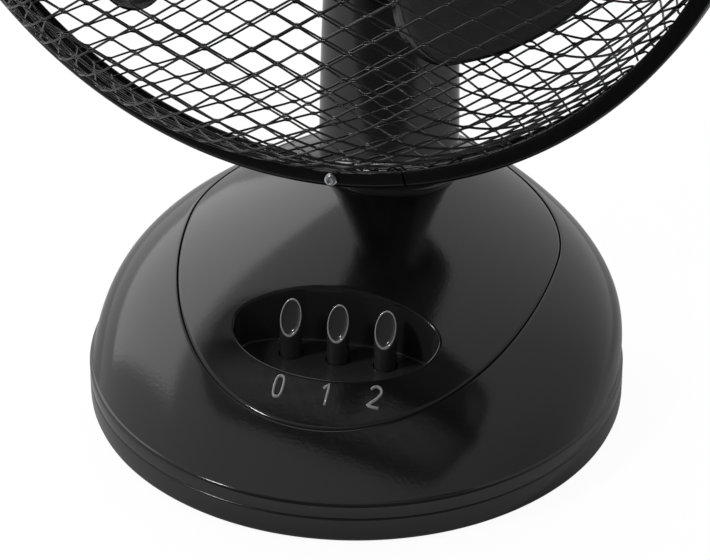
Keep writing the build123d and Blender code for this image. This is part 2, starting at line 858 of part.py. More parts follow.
with BuildPart() as motor_front_plate:
    with BuildSketch(head_face.offset(front_plate_back)):
        Circle(plate_radius)
    extrude(amount=plate_thick)
    with BuildSketch(head_face.offset(stator_front)):
        with Locations(*motor_screw_points):
            Circle(pillar_radius)
    extrude(amount=front_plate_back - stator_front)
    with BuildSketch(head_face.offset(front_plate_front)):
        Circle(collar_radius)
    extrude(amount=collar_length)
    with BuildSketch(head_face.offset(front_plate_back)):
        Circle(bearing_radius + press_gap)
    extrude(amount=plate_thick + collar_length, mode=Mode.SUBTRACT)
    with BuildSketch(head_face.offset(stator_front)):
        with Locations(*motor_screw_points):
            Circle(screw_radius + screw_gap)
    extrude(amount=front_plate_front - stator_front, mode=Mode.SUBTRACT)
finish(motor_front_plate, "motor_front_plate")

with BuildPart() as front_bearing:
    with BuildSketch(head_face.offset(front_plate_back)):
        Circle(bearing_radius)
        Circle(shaft_radius + running_fit, mode=Mode.SUBTRACT)
    extrude(amount=bearing_length)
finish(front_bearing, "front_bearing")

with BuildPart() as stator_core:
    with BuildSketch(head_face.offset(stator_back)):
        Circle(stator_radius)
        Circle(stator_bore, mode=Mode.SUBTRACT)
        with PolarLocations(slot_circle, slot_count):
            Circle(slot_radius + screw_gap, mode=Mode.SUBTRACT)
        with Locations(*motor_screw_points):
            Circle(screw_radius + screw_gap, mode=Mode.SUBTRACT)
    extrude(amount=stator_length)
finish(stator_core, "stator_core")

with BuildPart() as stator_winding:
    for start in (stator_back - coil_end, stator_front):
        with BuildSketch(head_face.offset(start)):
            Circle(coil_outer)
            Circle(coil_inner, mode=Mode.SUBTRACT)
        extrude(amount=coil_end)
    chamfer(stator_winding.edges().filter_by(GeomType.CIRCLE), 1.2)
    with BuildSketch(head_face.offset(stator_back - coil_end / 2)):
        with PolarLocations(slot_circle, slot_count):
            Circle(slot_radius)
    extrude(amount=stator_length + coil_end)
finish(stator_winding, "stator_winding")

with BuildPart() as motor_screws:
    with BuildSketch(head_face.offset(rear_plate_back)):
        with Locations(*motor_screw_points):
            Circle(screw_radius)
    extrude(amount=front_plate_front - rear_plate_back)
    with BuildSketch(head_face.offset(rear_plate_back)):
        with Locations(*motor_screw_points):
            Circle(screw_head_radius)
    extrude(amount=-screw_head)
finish(motor_screws, "motor_screws")

with BuildPart() as rotor_core:
    with BuildSketch(head_face.offset(stator_back)):
        Circle(stator_bore - air_gap)
        Circle(shaft_radius + press_gap, mode=Mode.SUBTRACT)
    extrude(amount=stator_length)
finish(rotor_core, "rotor_core")

shaft_front = hub_back + hub_length + spinner_bore
with BuildPart() as motor_shaft:
    with BuildSketch(head_face.offset(shaft_tail_forward)):
        Circle(shaft_radius)
    extrude(amount=shaft_front - shaft_tail_forward)
    with BuildSketch(head_face.offset(shaft_back)):
        Circle(shaft_tail_radius)
    extrude(amount=shaft_tail_forward - shaft_back)
finish(motor_shaft, "motor_shaft")

# ---------------------------------------------------------------- oscillating gear
with BuildPart() as worm:
    with BuildSketch(head_face.offset(worm_forward - worm_length / 2)):
        Circle(worm_radius)
        Circle(shaft_tail_radius + press_gap, mode=Mode.SUBTRACT)
    extrude(amount=worm_length)
finish(worm, "worm")

case_width = gear_case_right - gear_case_left
case_middle = (gear_case_right + gear_case_left) / 2
with BuildPart() as gear_case:
    with BuildSketch(head_face.offset(gear_case_back)):
        with Locations((case_middle, 0)):
            RectangleRounded(case_width, 2 * gear_case_half_height, 2 * gear_case_wall)
    extrude(amount=rear_plate_back - gear_case_back)
    with BuildSketch(head_face.offset(gear_case_back + gear_case_wall)):
        with Locations((case_middle, 0)):
            inner_width = case_width - 2 * gear_case_wall
            Rectangle(inner_width, 2 * gear_case_half_height - 2 * gear_case_wall)
    extrude(amount=rear_plate_back - gear_case_back, mode=Mode.SUBTRACT)
    with BuildSketch(head_face.offset(gear_case_back)):
        Circle(cover_boss_radius)
    extrude(amount=cover_back + cover_wall - gear_case_back)
    with BuildSketch(head_face.offset(gear_case_back)):
        Circle(screw_radius + screw_gap)
    extrude(amount=cover_back + cover_wall - gear_case_back, mode=Mode.SUBTRACT)
    with BuildSketch(head_top):
        with Locations((wheel_reach, -worm_forward)):
            Circle(crank_shaft_radius + running_fit)
    extrude(amount=gear_case_half_height, both=True, mode=Mode.SUBTRACT)
finish(gear_case, "gear_case")

crank_under = block_up + crank_above_block
with BuildPart() as crank_gear:
    with BuildSketch(head_top.offset(-wheel_thick / 2)):
        with Locations((wheel_reach, -worm_forward)):
            Circle(wheel_radius)
    extrude(amount=wheel_thick)
    with BuildSketch(head_top.offset(crank_under)):
        with Locations((wheel_reach, -worm_forward)):
            Circle(crank_shaft_radius)
    extrude(amount=gear_case_half_height - crank_under)
    with BuildSketch(head_top.offset(crank_under)):
        with Locations((wheel_reach, -worm_forward)):
            Circle(crank_radius)
    extrude(amount=crank_thick)
    with BuildSketch(head_top.offset(crank_under)):
        with Locations(crank_pin_place):
            Circle(crank_pin_radius)
    extrude(amount=-crank_pin_length)
finish(crank_gear, "crank_gear")

with BuildPart() as link_rod:
    with BuildSketch(head_top.offset(block_up + link_above_block)):
        with BuildLine():
            Line(stud_place, crank_pin_place)
        trace(line_width=2 * link_half_width)
        with Locations(stud_place, crank_pin_place):
            Circle(link_end_radius)
        with Locations(stud_place):
            Circle(stud_radius + stud_fit, mode=Mode.SUBTRACT)
        with Locations(crank_pin_place):
            Circle(crank_pin_radius + stud_fit, mode=Mode.SUBTRACT)
    extrude(amount=link_thick)
finish(link_rod, "link_rod")

# ---------------------------------------------------------------- rear cover and knob
with BuildPart() as rear_cover:
    with BuildSketch(head_side):
        with BuildLine():
            Polyline(
                (0, front_plate_front),
                (cover_radius, front_plate_front),
                (cover_radius, cover_back + cover_shoulder),
            )
            ThreePointArc(
                (cover_radius, cover_back + cover_shoulder),
                (cover_radius - 3.5, cover_back + cover_shoulder / 3),
                (cover_end_radius, cover_back),
            )
            Polyline((cover_end_radius, cover_back), (0, cover_back), (0, front_plate_front))
        make_face()
    revolve(axis=fan_axis)
    with BuildSketch(head_top.offset(block_up + chin_above_block)):
        with Locations((0, -chin_forward)):
            Circle(chin_radius)
    extrude(amount=-block_up)
    with BuildSketch(head_side):
        with BuildLine():
            Polyline(
                (0, front_plate_front),
                (cover_radius - cover_wall, front_plate_front),
                (cover_radius - cover_wall, cover_back + cover_shoulder),
            )
            ThreePointArc(
                (cover_radius - cover_wall, cover_back + cover_shoulder),
                (cover_radius - cover_wall - 3.5, cover_back + cover_wall + cover_shoulder / 3),
                (cover_end_radius - cover_wall, cover_back + cover_wall),
            )
            Polyline(
                (cover_end_radius - cover_wall, cover_back + cover_wall),
                (0, cover_back + cover_wall),
                (0, front_plate_front),
            )
        make_face()
    revolve(axis=fan_axis, mode=Mode.SUBTRACT)
    with BuildSketch(head_top.offset(block_up)):
        with Locations((0, -chin_forward)):
            Circle(chin_radius - cover_wall)
    extrude(amount=-block_up / 2, mode=Mode.SUBTRACT)
    with BuildSketch(head_face.offset(cover_back)):
        Circle(screw_radius + screw_hole_gap)
    extrude(amount=cover_wall, mode=Mode.SUBTRACT)
    with BuildSketch(head_top):
        with Locations((wheel_reach, -worm_forward)):
            Circle(knob_stem_radius + knob_stem_gap)
    extrude(amount=cover_radius, mode=Mode.SUBTRACT)
finish(rear_cover, "rear_cover")

with BuildPart() as cover_screw:
    with BuildSketch(head_face.offset(cover_back)):
        Circle(screw_radius)
    extrude(amount=screw_length)
    with BuildSketch(head_face.offset(cover_back)):
        Circle(screw_head_radius)
    extrude(amount=-screw_head)
finish(cover_screw, "cover_screw")

with BuildPart() as oscillation_knob:
    with BuildSketch(head_top.offset(knob_base)):
        with Locations((wheel_reach, -worm_forward)):
            Circle(knob_radius)
    extrude(amount=knob_height)
    knob_top = oscillation_knob.faces().sort_by(Axis(motor_point, swivel_up))[-1]
    fillet(knob_top.edges(), 2.5)
    with BuildSketch(head_top.offset(knob_stem_end)):
        with Locations((wheel_reach, -worm_forward)):
            Circle(knob_stem_radius)
    extrude(amount=knob_base - knob_stem_end)
    with BuildSketch(head_top.offset(knob_flange_up)):
        with Locations((wheel_reach, -worm_forward)):
            Circle(knob_flange_radius)
    extrude(amount=knob_flange)
finish(oscillation_knob, "oscillation_knob")

# ---------------------------------------------------------------- guards and ring
ring_back = ring_face - ring_depth
front_rim = ring_face - ring_sheet - rim_gap  # outer faces of the two beads
rear_rim = ring_back + ring_sheet + rim_gap
cut_width = cell_width / 2 - strand / 2 * math.hypot(cell_width, cell_height) / cell_height
cut_height = cell_height / 2 - strand / 2 * math.hypot(cell_width, cell_height) / cell_width
columns = int(cell_reach / cell_width * 2) + 2
rows = int(cell_reach / cell_height * 2) + 2
cells = [
    (i * cell_width / 2, j * cell_height / 2)
    for i in range(-columns, columns + 1)
    for j in range(-rows, rows + 1)
    if (i + j) % 2 == 0
]
crown_ball_radius = (crown_edge_radius**2 + crown_fall**2) / (2 * crown_fall)


def crown_drop(radius):
    """How far the net's domed middle has fallen at a radius."""
    return crown_ball_radius - math.sqrt(crown_ball_radius**2 - radius**2)


def net_profile(foot, toward, depth, centre):
    """Half of the net's section: a slanted wall, a round shoulder and a domed middle."""
    top = foot + toward * depth
    inward = -toward * net_thick
    diagonal = net_thick * math.sqrt(0.5)
    shoulder = (net_foot_radius - net_slant, foot + toward * net_wall)
    bend = (bend_radius, top - toward * bend_fall)
    edge = (crown_edge_radius, top - toward * crown_fall)
    middle_radius = (centre + crown_edge_radius) / 2
    middle = (middle_radius, top - toward * crown_drop(middle_radius))
    centre_edge = (centre, top - toward * crown_drop(centre))
    with BuildSketch(head_side) as profile:
        with BuildLine():
            Line((net_foot_radius, foot), shoulder)
            ThreePointArc(shoulder, bend, edge)
            ThreePointArc(edge, middle, centre_edge)
            Line(centre_edge, (centre, centre_edge[1] + inward))
            ThreePointArc(
                (centre, centre_edge[1] + inward),
                (middle_radius, middle[1] + inward),
                (crown_edge_radius, edge[1] + inward),
            )
            ThreePointArc(
                (crown_edge_radius, edge[1] + inward),
                (bend_radius - diagonal, bend[1] - toward * diagonal),
                (shoulder[0] - net_thick, shoulder[1]),
            )
            Line((shoulder[0] - net_thick, shoulder[1]), (net_foot_radius - net_thick, foot))
            Line((net_foot_radius - net_thick, foot), (net_foot_radius, foot))
        make_face()
    return profile.sketch


def wall_gap_places(foot, toward, step):
    """Upright planes round the net's shoulder, one for each gap of its staggered rows."""
    places = []
    for row in range(wall_gap_rows):
        forward = foot + toward * (wall_gap_first + row) * step
        for i in range(wall_gap_count):
            turn = 2 * math.pi * (i + row / 2) / wall_gap_count
            out = head_right * math.cos(turn) + swivel_up * math.sin(turn)
            across = swivel_up * math.cos(turn) - head_right * math.sin(turn)
            start = motor_point + head_forward * forward + out * crown_edge_radius
            places.append(Plane(origin=start, x_dir=across, z_dir=out))
    return places


def diamond(half_width, half_height):
    """A diamond's corners."""
    return [(half_width, 0), (0, half_height), (-half_width, 0), (0, -half_height)]


def guard(rim, toward, depth, centre, seat):
    """A domed net with its rim bead: toward is 1 for the front guard and -1 for the rear."""
    foot = rim - toward * bead_depth  # inner face of the bead
    step = (depth - bend_fall) / (wall_gap_rows + wall_gap_spare)
    near_cells = [
        c for c in cells if seat + cell_height / 2 < math.hypot(*c) < cell_reach + cell_height / 4
    ]
    with BuildPart() as net:
        add(net_profile(foot, toward, depth, centre))
        revolve(axis=fan_axis)
        with BuildSketch(guard_face.offset(foot - toward * net_thick)):
            with Locations(*near_cells):
                Polygon(*diamond(cut_width, cut_height), align=None)
            Circle(cell_reach, mode=Mode.INTERSECT)
            Circle(seat, mode=Mode.SUBTRACT)
        extrude(amount=toward * (depth + 2 * net_thick), mode=Mode.SUBTRACT)
        with BuildSketch(*wall_gap_places(foot, toward, step)):
            Polygon(*diamond(wall_gap_half_width, wall_gap_half_height * step), align=None)
        extrude(amount=cell_width, mode=Mode.SUBTRACT)
        with BuildSketch(head_face.offset(foot)):
            Circle(ring_radius - ring_sheet - rim_gap)
            Circle(net_foot_radius - net_thick, mode=Mode.SUBTRACT)
        extrude(amount=toward * net_thick)
        with BuildSketch(head_face.offset(foot)):
            Circle(ring_radius - ring_sheet - rim_gap)
            Circle(ring_radius - ring_sheet - rim_gap - bead_width, mode=Mode.SUBTRACT)
        extrude(amount=toward * bead_depth)
        with BuildSketch(head_face.offset(foot)):
            with PolarLocations(ring_screw_circle, 1, ring_screw_turn):
                Circle(ring_screw_radius + screw_hole_gap)
        extrude(amount=toward * bead_depth, mode=Mode.SUBTRACT)
    return net


rear_guard = guard(rear_rim, -1, rear_net_depth, collar_radius + seat_gap, seat_radius)
finish(rear_guard, "rear_guard")
front_guard = guard(front_rim, 1, front_net_depth, badge_stem_radius + seat_gap, badge_seat_radius)
finish(front_guard, "front_guard")

seat_front = rear_rim + bead_depth - rear_net_depth + net_thick
with BuildPart() as guard_nut:
    with BuildSketch(head_face.offset(seat_front + dish_gap)):
        Circle(guard_nut_radius)
        Circle(collar_radius + guard_nut_fit, mode=Mode.SUBTRACT)
    extrude(amount=guard_nut_thick)
    chamfer(guard_nut.edges().group_by(fan_axis)[-1], edge_break)
finish(guard_nut, "guard_nut")

with BuildPart() as ring_band:
    with BuildSketch(head_side):
        with BuildLine():
            Polyline(
                (ring_radius - ring_flange, ring_face),
                (ring_radius - ring_sheet, ring_face),
                (ring_radius, ring_face - ring_sheet),
                (ring_radius, ring_back + ring_sheet),
                (ring_radius - ring_sheet, ring_back),
                (ring_radius - ring_flange, ring_back),
                (ring_radius - ring_flange, ring_back + ring_sheet),
                (ring_radius - ring_sheet, ring_back + ring_sheet),
                (ring_radius - ring_sheet, ring_face - ring_sheet),
                (ring_radius - ring_flange, ring_face - ring_sheet),
                close=True,
            )
        make_face()
    revolve(axis=fan_axis)
    with BuildSketch(head_face.offset(ring_back)):
        with PolarLocations(ring_radius - ring_flange / 2, 1, ring_slit_turn):
            Rectangle(2 * ring_flange, ring_slit)
        with PolarLocations(ring_screw_circle, 1, ring_screw_turn):
            Circle(ring_screw_radius + screw_gap)
    extrude(amount=ring_depth, mode=Mode.SUBTRACT)
finish(ring_band, "ring_band")

with BuildPart() as ring_screw:
    with BuildSketch(head_face.offset(ring_face)):
        with PolarLocations(ring_screw_circle, 1, ring_screw_turn):
            Circle(ring_screw_head_radius)
    extrude(amount=ring_screw_head)
    with BuildSketch(head_face.offset(ring_face)):
        with PolarLocations(ring_screw_circle, 1, ring_screw_turn):
            Circle(ring_screw_radius)
    extrude(amount=-ring_depth - ring_nut_thick)
finish(ring_screw, "ring_screw")

with BuildPart() as ring_nut:
    with BuildSketch(head_face.offset(ring_back)):
        with PolarLocations(ring_screw_circle, 1, ring_screw_turn):
            RegularPolygon(ring_nut_radius, 6)
            Circle(ring_screw_radius + press_gap, mode=Mode.SUBTRACT)
    extrude(amount=-ring_nut_thick)
finish(ring_nut, "ring_nut")

badge_back = front_rim - bead_depth + front_net_depth
with BuildPart() as front_badge:
    with BuildSketch(head_side):
        with BuildLine():
            Polyline(
                (0, badge_back - badge_stem_length),
                (badge_stem_radius, badge_back - badge_stem_length),
                (badge_stem_radius, badge_back),
                (badge_radius, badge_back),
                (badge_radius, badge_back + badge_thick / 2),
                (badge_radius - badge_thick, badge_back + badge_thick),
                (0, badge_back + badge_thick),
                close=True,
            )
        make_face()
    revolve(axis=fan_axis)
finish(front_badge, "front_badge")

with BuildPart() as badge_clip:
    with BuildSketch(head_face.offset(badge_back - net_thick - rim_gap)):
        Circle(badge_clip_radius)
        Circle(badge_stem_radius + press_gap, mode=Mode.SUBTRACT)
    extrude(amount=-badge_clip_thick)
finish(badge_clip, "badge_clip")

# ---------------------------------------------------------------- fan blade and spinner nut
def pitched_section(reach, half_chord, pitch, turn):
    """A flat section of a blade, square to the blade's own direction."""
    along = math.radians(turn)
    out = head_right * math.cos(along) + swivel_up * math.sin(along)
    across = swivel_up * math.cos(along) - head_right * math.sin(along)
    lean = math.radians(pitch)
    chord = across * math.cos(lean) + head_forward * math.sin(lean)
    middle = motor_point + head_forward * blade_forward + out * reach
    with BuildSketch(Plane(origin=middle, x_dir=chord, z_dir=out)) as section:
        Rectangle(2 * half_chord, blade_thick)
    return section.sketch


def blade_prism(turn):
    """A blade's shape seen from the front: narrow at the hub, wide and round at the tip."""
    half = math.radians(blade_tip_half_angle)
    corner_x = blade_tip_radius * math.cos(half)
    corner_y = blade_tip_radius * math.sin(half)
    along = math.radians(turn)
    out = head_right * math.cos(along) + swivel_up * math.sin(along)
    low = Plane(origin=motor_point + head_forward * hub_back, x_dir=out, z_dir=head_forward)
    with BuildPart() as prism:
        with BuildSketch(low):
            with BuildLine():
                Line((blade_root_reach, -blade_root_half), (corner_x, -corner_y))
                ThreePointArc((corner_x, -corner_y), (blade_tip_radius, 0), (corner_x, corner_y))
                Line((corner_x, corner_y), (blade_root_reach, blade_root_half))
                Line((blade_root_reach, blade_root_half), (blade_root_reach, -blade_root_half))
            make_face()
        extrude(amount=2 * hub_length, both=True)
        tips = prism.edges().filter_by(Axis(motor_point, head_forward))
        fillet(tips.sort_by_distance(fan_axis.position)[-2:], blade_tip_round)
    return prism.part


blades = []
for i in range(blade_count):
    turn = blade_turn + i * 360 / blade_count
    with BuildPart() as blade:
        add(pitched_section(blade_root_reach, 2 * blade_root_half, blade_root_pitch, turn))
        add(pitched_section(blade_tip_radius + blade_thick, blade_tip_radius, blade_tip_pitch, turn))
        loft()
        add(blade_prism(turn), mode=Mode.INTERSECT)
    blades.append(blade.part)

with BuildPart() as fan_blade:
    with BuildSketch(head_face.offset(hub_back)):
        Circle(hub_radius)
    extrude(amount=hub_length)
    fillet(fan_blade.edges().group_by(fan_axis)[-1], 2)
    for piece in blades:
        add(piece)
    with BuildSketch(head_face.offset(hub_back)):
        Circle(hub_radius - hub_wall)
    extrude(amount=hub_length - hub_wall, mode=Mode.SUBTRACT)
    with BuildSketch(head_face.offset(hub_back)):
        Circle(hub_boss_radius)
    extrude(amount=hub_length)
    with BuildSketch(head_face.offset(hub_back)):
        Circle(shaft_radius + press_gap)
    extrude(amount=hub_length, mode=Mode.SUBTRACT)
finish(fan_blade, "fan_blade")

with BuildPart() as spinner_nut:
    with BuildSketch(head_face.offset(hub_back + hub_length)):
        Circle(spinner_radius)
    extrude(amount=spinner_length)
    fillet(spinner_nut.edges().group_by(fan_axis)[-1], 4)
    with BuildSketch(head_face.offset(hub_back + hub_length)):
        Circle(shaft_radius + press_gap)
    extrude(amount=spinner_bore, mode=Mode.SUBTRACT)
finish(spinner_nut, "spinner_nut")
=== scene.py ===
import json
import math
import bmesh
import bpy
import numpy as np
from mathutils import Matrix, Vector
from mathutils.geometry import delaunay_2d_cdt


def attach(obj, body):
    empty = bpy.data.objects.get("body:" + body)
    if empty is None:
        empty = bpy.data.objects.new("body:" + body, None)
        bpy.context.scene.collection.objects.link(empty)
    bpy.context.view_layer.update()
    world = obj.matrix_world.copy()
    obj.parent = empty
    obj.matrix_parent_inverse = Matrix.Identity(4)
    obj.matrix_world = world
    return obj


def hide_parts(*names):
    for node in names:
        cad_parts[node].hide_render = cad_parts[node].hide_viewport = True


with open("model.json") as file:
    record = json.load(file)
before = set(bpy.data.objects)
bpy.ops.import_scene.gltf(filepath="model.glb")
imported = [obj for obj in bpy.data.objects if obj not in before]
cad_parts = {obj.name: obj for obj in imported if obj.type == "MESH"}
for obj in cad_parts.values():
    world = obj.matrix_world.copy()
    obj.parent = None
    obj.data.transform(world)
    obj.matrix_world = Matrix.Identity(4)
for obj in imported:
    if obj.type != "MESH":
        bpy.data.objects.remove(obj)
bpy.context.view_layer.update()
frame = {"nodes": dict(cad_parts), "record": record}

# ------------------------------------------------------------------ the base shell
# The outer band of the base: a glossy black moulding that stands up as a short skirt, breaks
# over a soft edge, and rises as a dome to the seam round the control panel.  Drawn in mm.
RIM, RIM_Z = 86.5, 15.5
CROWN = dict(z=58.5, half=22.8, front=28.0, rear=61.2)
SWEEP = dict(half=(2.51, 1), front=(1, 1.3), rear=(8, 3.3))
TOP_Z = 58.0
TOP_T = (TOP_Z - RIM_Z) / (CROWN["z"] - RIM_Z)
SEAM = dict(y=23.0, half=62.4, front=87.2, rear=51.5)
LIP_R, LIP_HEIGHTS = 85.3, (13.0, 10.0)
SKIRT = ((87.0, 10.0), (87.3, 10.1), (87.45, 10.3), (87.5, 10.6), (87.5, 12.5), (87.5, 14.2),
         (87.4, 14.7), (87.15, 15.15), (86.8, 15.4))
SEAM_DROPS, SHELF_DROP, SHELF_SHARE, SHELF_Y = (0.12, 0.4, 1.7), 1.9, 0.05, 18.0
DOME_ROWS = np.linspace(0, 1, 60) ** 1.15 * 0.994
GRAIN_SCALE, RIPPLE_SCALE = 900.0, 24.0
TURNS = np.linspace(0, 2 * math.pi, 361)[:-1]
circle = np.stack([np.cos(TURNS), np.sin(TURNS), 0 * TURNS], -1)


def rise(t, power, root):
    """How far a side of the dome has drawn in at t: 0 at the rim, 1 at the crown."""
    return 1 - np.clip(1 - np.clip(t, 0, 1) ** power, 0, 1) ** (1 / root)


def dome_oval(t):
    """Half-width, middle, half-depth and height of the dome's level section at t."""
    t = np.minimum(t, TOP_T)
    half = RIM - (RIM - CROWN["half"]) * rise(t, *SWEEP["half"])
    front = (RIM + CROWN["front"]) * rise(t, *SWEEP["front"]) - RIM
    rear = RIM - (RIM - CROWN["rear"]) * rise(t, *SWEEP["rear"])
    return half, (front + rear) / 2, (rear - front) / 2, RIM_Z + (CROWN["z"] - RIM_Z) * t


def dome_point(t, turn):
    """A point of the dome; past the flat top's edge t runs on towards its middle."""
    half, mid, deep, z = dome_oval(t)
    keep = 1 - np.clip(t - TOP_T, 0, 1)
    return np.stack([half * keep * np.cos(turn), mid + deep * keep * np.sin(turn), z + 0 * turn], -1)


def dome_height(x, y):
    """Height of the dome over a point of the plan."""
    low, high = np.zeros_like(x), np.full_like(x, TOP_T)
    for _ in range(40):
        t = (low + high) / 2
        half, mid, deep, _z = dome_oval(t)
        inside = (x / half) ** 2 + ((y - mid) / deep) ** 2 < 1
        low, high = np.where(inside, t, low), np.where(inside, high, t)
    return dome_oval((low + high) / 2)[3]


def seam_value(p, grow=0.0):
    """Below zero inside the panel's oval, above it outside."""
    dy = p[..., 1] - SEAM["y"]
    deep = np.where(dy < 0, SEAM["front"], SEAM["rear"]) + grow
    return (p[..., 0] / (SEAM["half"] + grow)) ** 2 + (dy / deep) ** 2 - 1


def seam_t(turn):
    """Where the dome's own lines meet the seam."""
    low, high = np.zeros_like(turn), np.full_like(turn, TOP_T + 0.9)
    for _ in range(50):
        t = (low + high) / 2
        outside = seam_value(dome_point(t, turn)) > 0
        low, high = np.where(outside, t, low), np.where(outside, high, t)
    return low


def base_round(profile):
    """Level rings about the base's middle, from (radius, height) pairs."""
    return [circle * (r, r, 0) + (0, 0, z) for r, z in profile]


def mesh_piece(name, points, faces, body, slot, material, *nodes, smooth=True):
    """One mesh piece in mm that rides on a body and stands for the CAD nodes named."""
    mesh = bpy.data.meshes.new(name)
    mesh.from_pydata((np.asarray(points, float) * 0.001).tolist(), [], faces)
    work = bmesh.new()
    work.from_mesh(mesh)
    bmesh.ops.recalc_face_normals(work, faces=work.faces)
    work.to_mesh(mesh)
    work.free()
    if smooth:
        mesh.shade_smooth()
    piece = bpy.data.objects.new(name, mesh)
    bpy.context.collection.objects.link(piece)
    piece.data.materials.append(material)
    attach(piece, body)
    if nodes:
        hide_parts(*nodes)
    return piece


def rows_piece(name, rows, body, slot, material, *nodes, closed=True, caps=()):
    """A smooth skin over rows of points in mm; a closed one runs round to its first column."""
    rows = [np.asarray(r, float) for r in rows]
    n = len(rows[0])
    faces = []
    for j in range(len(rows) - 1):
        for i in range(n if closed else n - 1):
            k = (i + 1) % n
            faces.append((j * n + i, j * n + k, (j + 1) * n + k, (j + 1) * n + i))
    if "first" in caps:
        faces.append(tuple(range(n))[::-1])
    if "last" in caps:
        faces.append(tuple((len(rows) - 1) * n + i for i in range(n)))
    return mesh_piece(name, np.concatenate(rows), faces, body, slot, material, *nodes)


def moulded(name, colour, rough, coat=0.0, speck=0.0006, metal=0.0, shine=0.75):
    """Moulded plastic, paint or plain metal: an uneven sheen and a fine grain."""
    m = bpy.data.materials.new(name)
    m.use_nodes = True
    tree = m.node_tree
    shader = tree.nodes["Principled BSDF"]
    place = tree.nodes.new("ShaderNodeTexCoord")
    fine = tree.nodes.new("ShaderNodeTexNoise")
    fine.inputs["Scale"].default_value = GRAIN_SCALE
    fine.inputs["Detail"].default_value = 3.0
    wide = tree.nodes.new("ShaderNodeTexNoise")
    wide.inputs["Scale"].default_value = RIPPLE_SCALE
    wide.inputs["Detail"].default_value = 2.0
    tree.links.new(place.outputs["Object"], fine.inputs["Vector"])
    tree.links.new(place.outputs["Object"], wide.inputs["Vector"])
    sheen = tree.nodes.new("ShaderNodeMapRange")
    sheen.inputs["To Min"].default_value = rough * 0.8
    sheen.inputs["To Max"].default_value = rough * 1.25
    tree.links.new(wide.outputs["Fac"], sheen.inputs["Value"])
    tree.links.new(sheen.outputs["Result"], shader.inputs["Roughness"])
    shade = tree.nodes.new("ShaderNodeMix")
    shade.data_type = "RGBA"
    shade.inputs["A"].default_value = (*[c * 0.85 for c in colour], 1)
    shade.inputs["B"].default_value = (*[min(c * 1.15, 1) for c in colour], 1)
    tree.links.new(wide.outputs["Fac"], shade.inputs["Factor"])
    tree.links.new(shade.outputs["Result"], shader.inputs["Base Color"])
    bump = tree.nodes.new("ShaderNodeBump")
    bump.inputs["Strength"].default_value = 0.25
    bump.inputs["Distance"].default_value = speck * 0.1
    tree.links.new(fine.outputs["Fac"], bump.inputs["Height"])
    tree.links.new(bump.outputs["Normal"], shader.inputs["Normal"])
    shader.inputs["Metallic"].default_value = metal
    shader.inputs["Specular IOR Level"].default_value = shine
    shader.inputs["Coat Weight"].default_value = coat
    shader.inputs["Coat Roughness"].default_value = 0.03
    return m


black_gloss = moulded("black_gloss", (0.0085, 0.0085, 0.0095), 0.11)
at_seam = seam_t(TURNS)
edge = dome_point(at_seam, TURNS)
rows = base_round((LIP_R, z) for z in LIP_HEIGHTS) + base_round(SKIRT)
rows += [dome_point(at_seam * w, TURNS) for w in DOME_ROWS]
rows += [edge + (0, 0, -drop) for drop in SEAM_DROPS]
shelf = edge + (np.array([0, SHELF_Y, 0]) - edge * (1, 1, 0)) * SHELF_SHARE
rows += [shelf + (0, 0, -SHELF_DROP)]
rows_piece("shell_skin", rows, "base", "black_gloss", black_gloss, "base_shell")

# ------------------------------------------------------------------ the control panel
# A separate oval moulding set into the dome with a fine seam.  An oval well with a flat floor
# is sunk in it for the keys, and the neck stands on its flat top.
WELL = dict(y=-27.5, half=33.2, front=19.5, rear=12.6, floor=26.5)
KEYS_X, KEY_Y = (-15.5, 0.0, 15.5), -25.0
HOLE_R, HOLE_DEPTH, SEAM_GAP = 4.05, 1.7, 0.3
PANEL_EDGE = ((0.0, 1.9), (0.0, 0.85), (0.08, 0.5), (0.26, 0.25), (0.52, 0.09), (0.85, 0.01))
WELL_EDGE = ((0.6, 0.04), (0.3, 0.13), (0.1, 0.33), (0.0, 0.65))
WALL_TOP, WALL_FOOT, WALL_DRAFT = 0.65, 0.8, 0.5
middle = np.array([0.0, WELL["y"]])
well_turns = np.linspace(0, 2 * math.pi, 541)[:-1]
heading = np.stack([np.cos(well_turns), np.sin(well_turns)], -1)


def well_reach(turn):
    """Distance from the well's middle to its edge in each direction."""
    deep = np.where(np.sin(turn) < 0, WELL["front"], WELL["rear"])
    return 1 / np.sqrt((np.cos(turn) / WELL["half"]) ** 2 + (np.sin(turn) / deep) ** 2)


def panel_reach(turn, grow):
    """Distance from the well's middle to the panel's own edge in each direction."""
    low, high = np.zeros_like(turn), np.full_like(turn, 150.0)
    for _ in range(50):
        r = (low + high) / 2
        inside = seam_value(middle + heading * r[:, None], grow) < 0
        low, high = np.where(inside, r, low), np.where(inside, high, r)
    return low


def over(reach, drop=0.0):
    """A row on the dome at these distances from the well's middle, or a little under it."""
    xy = middle + heading * np.asarray(reach)[:, None]
    return np.column_stack([xy, dome_height(xy[:, 0], xy[:, 1]) - drop])


def level(reach, z):
    """A level row at these distances from the well's middle."""
    xy = middle + heading * np.asarray(reach)[:, None]
    return np.column_stack([xy, np.broadcast_to(z, len(well_turns))])


def painted_light_rows(piece, finish, count, first, last):
    """Gives the skin between two of a piece's rows a second material, which carries painted light."""
    piece.data.materials.append(finish)
    for face in piece.data.polygons:
        if first * count <= face.index < last * count:
            face.material_index = 1


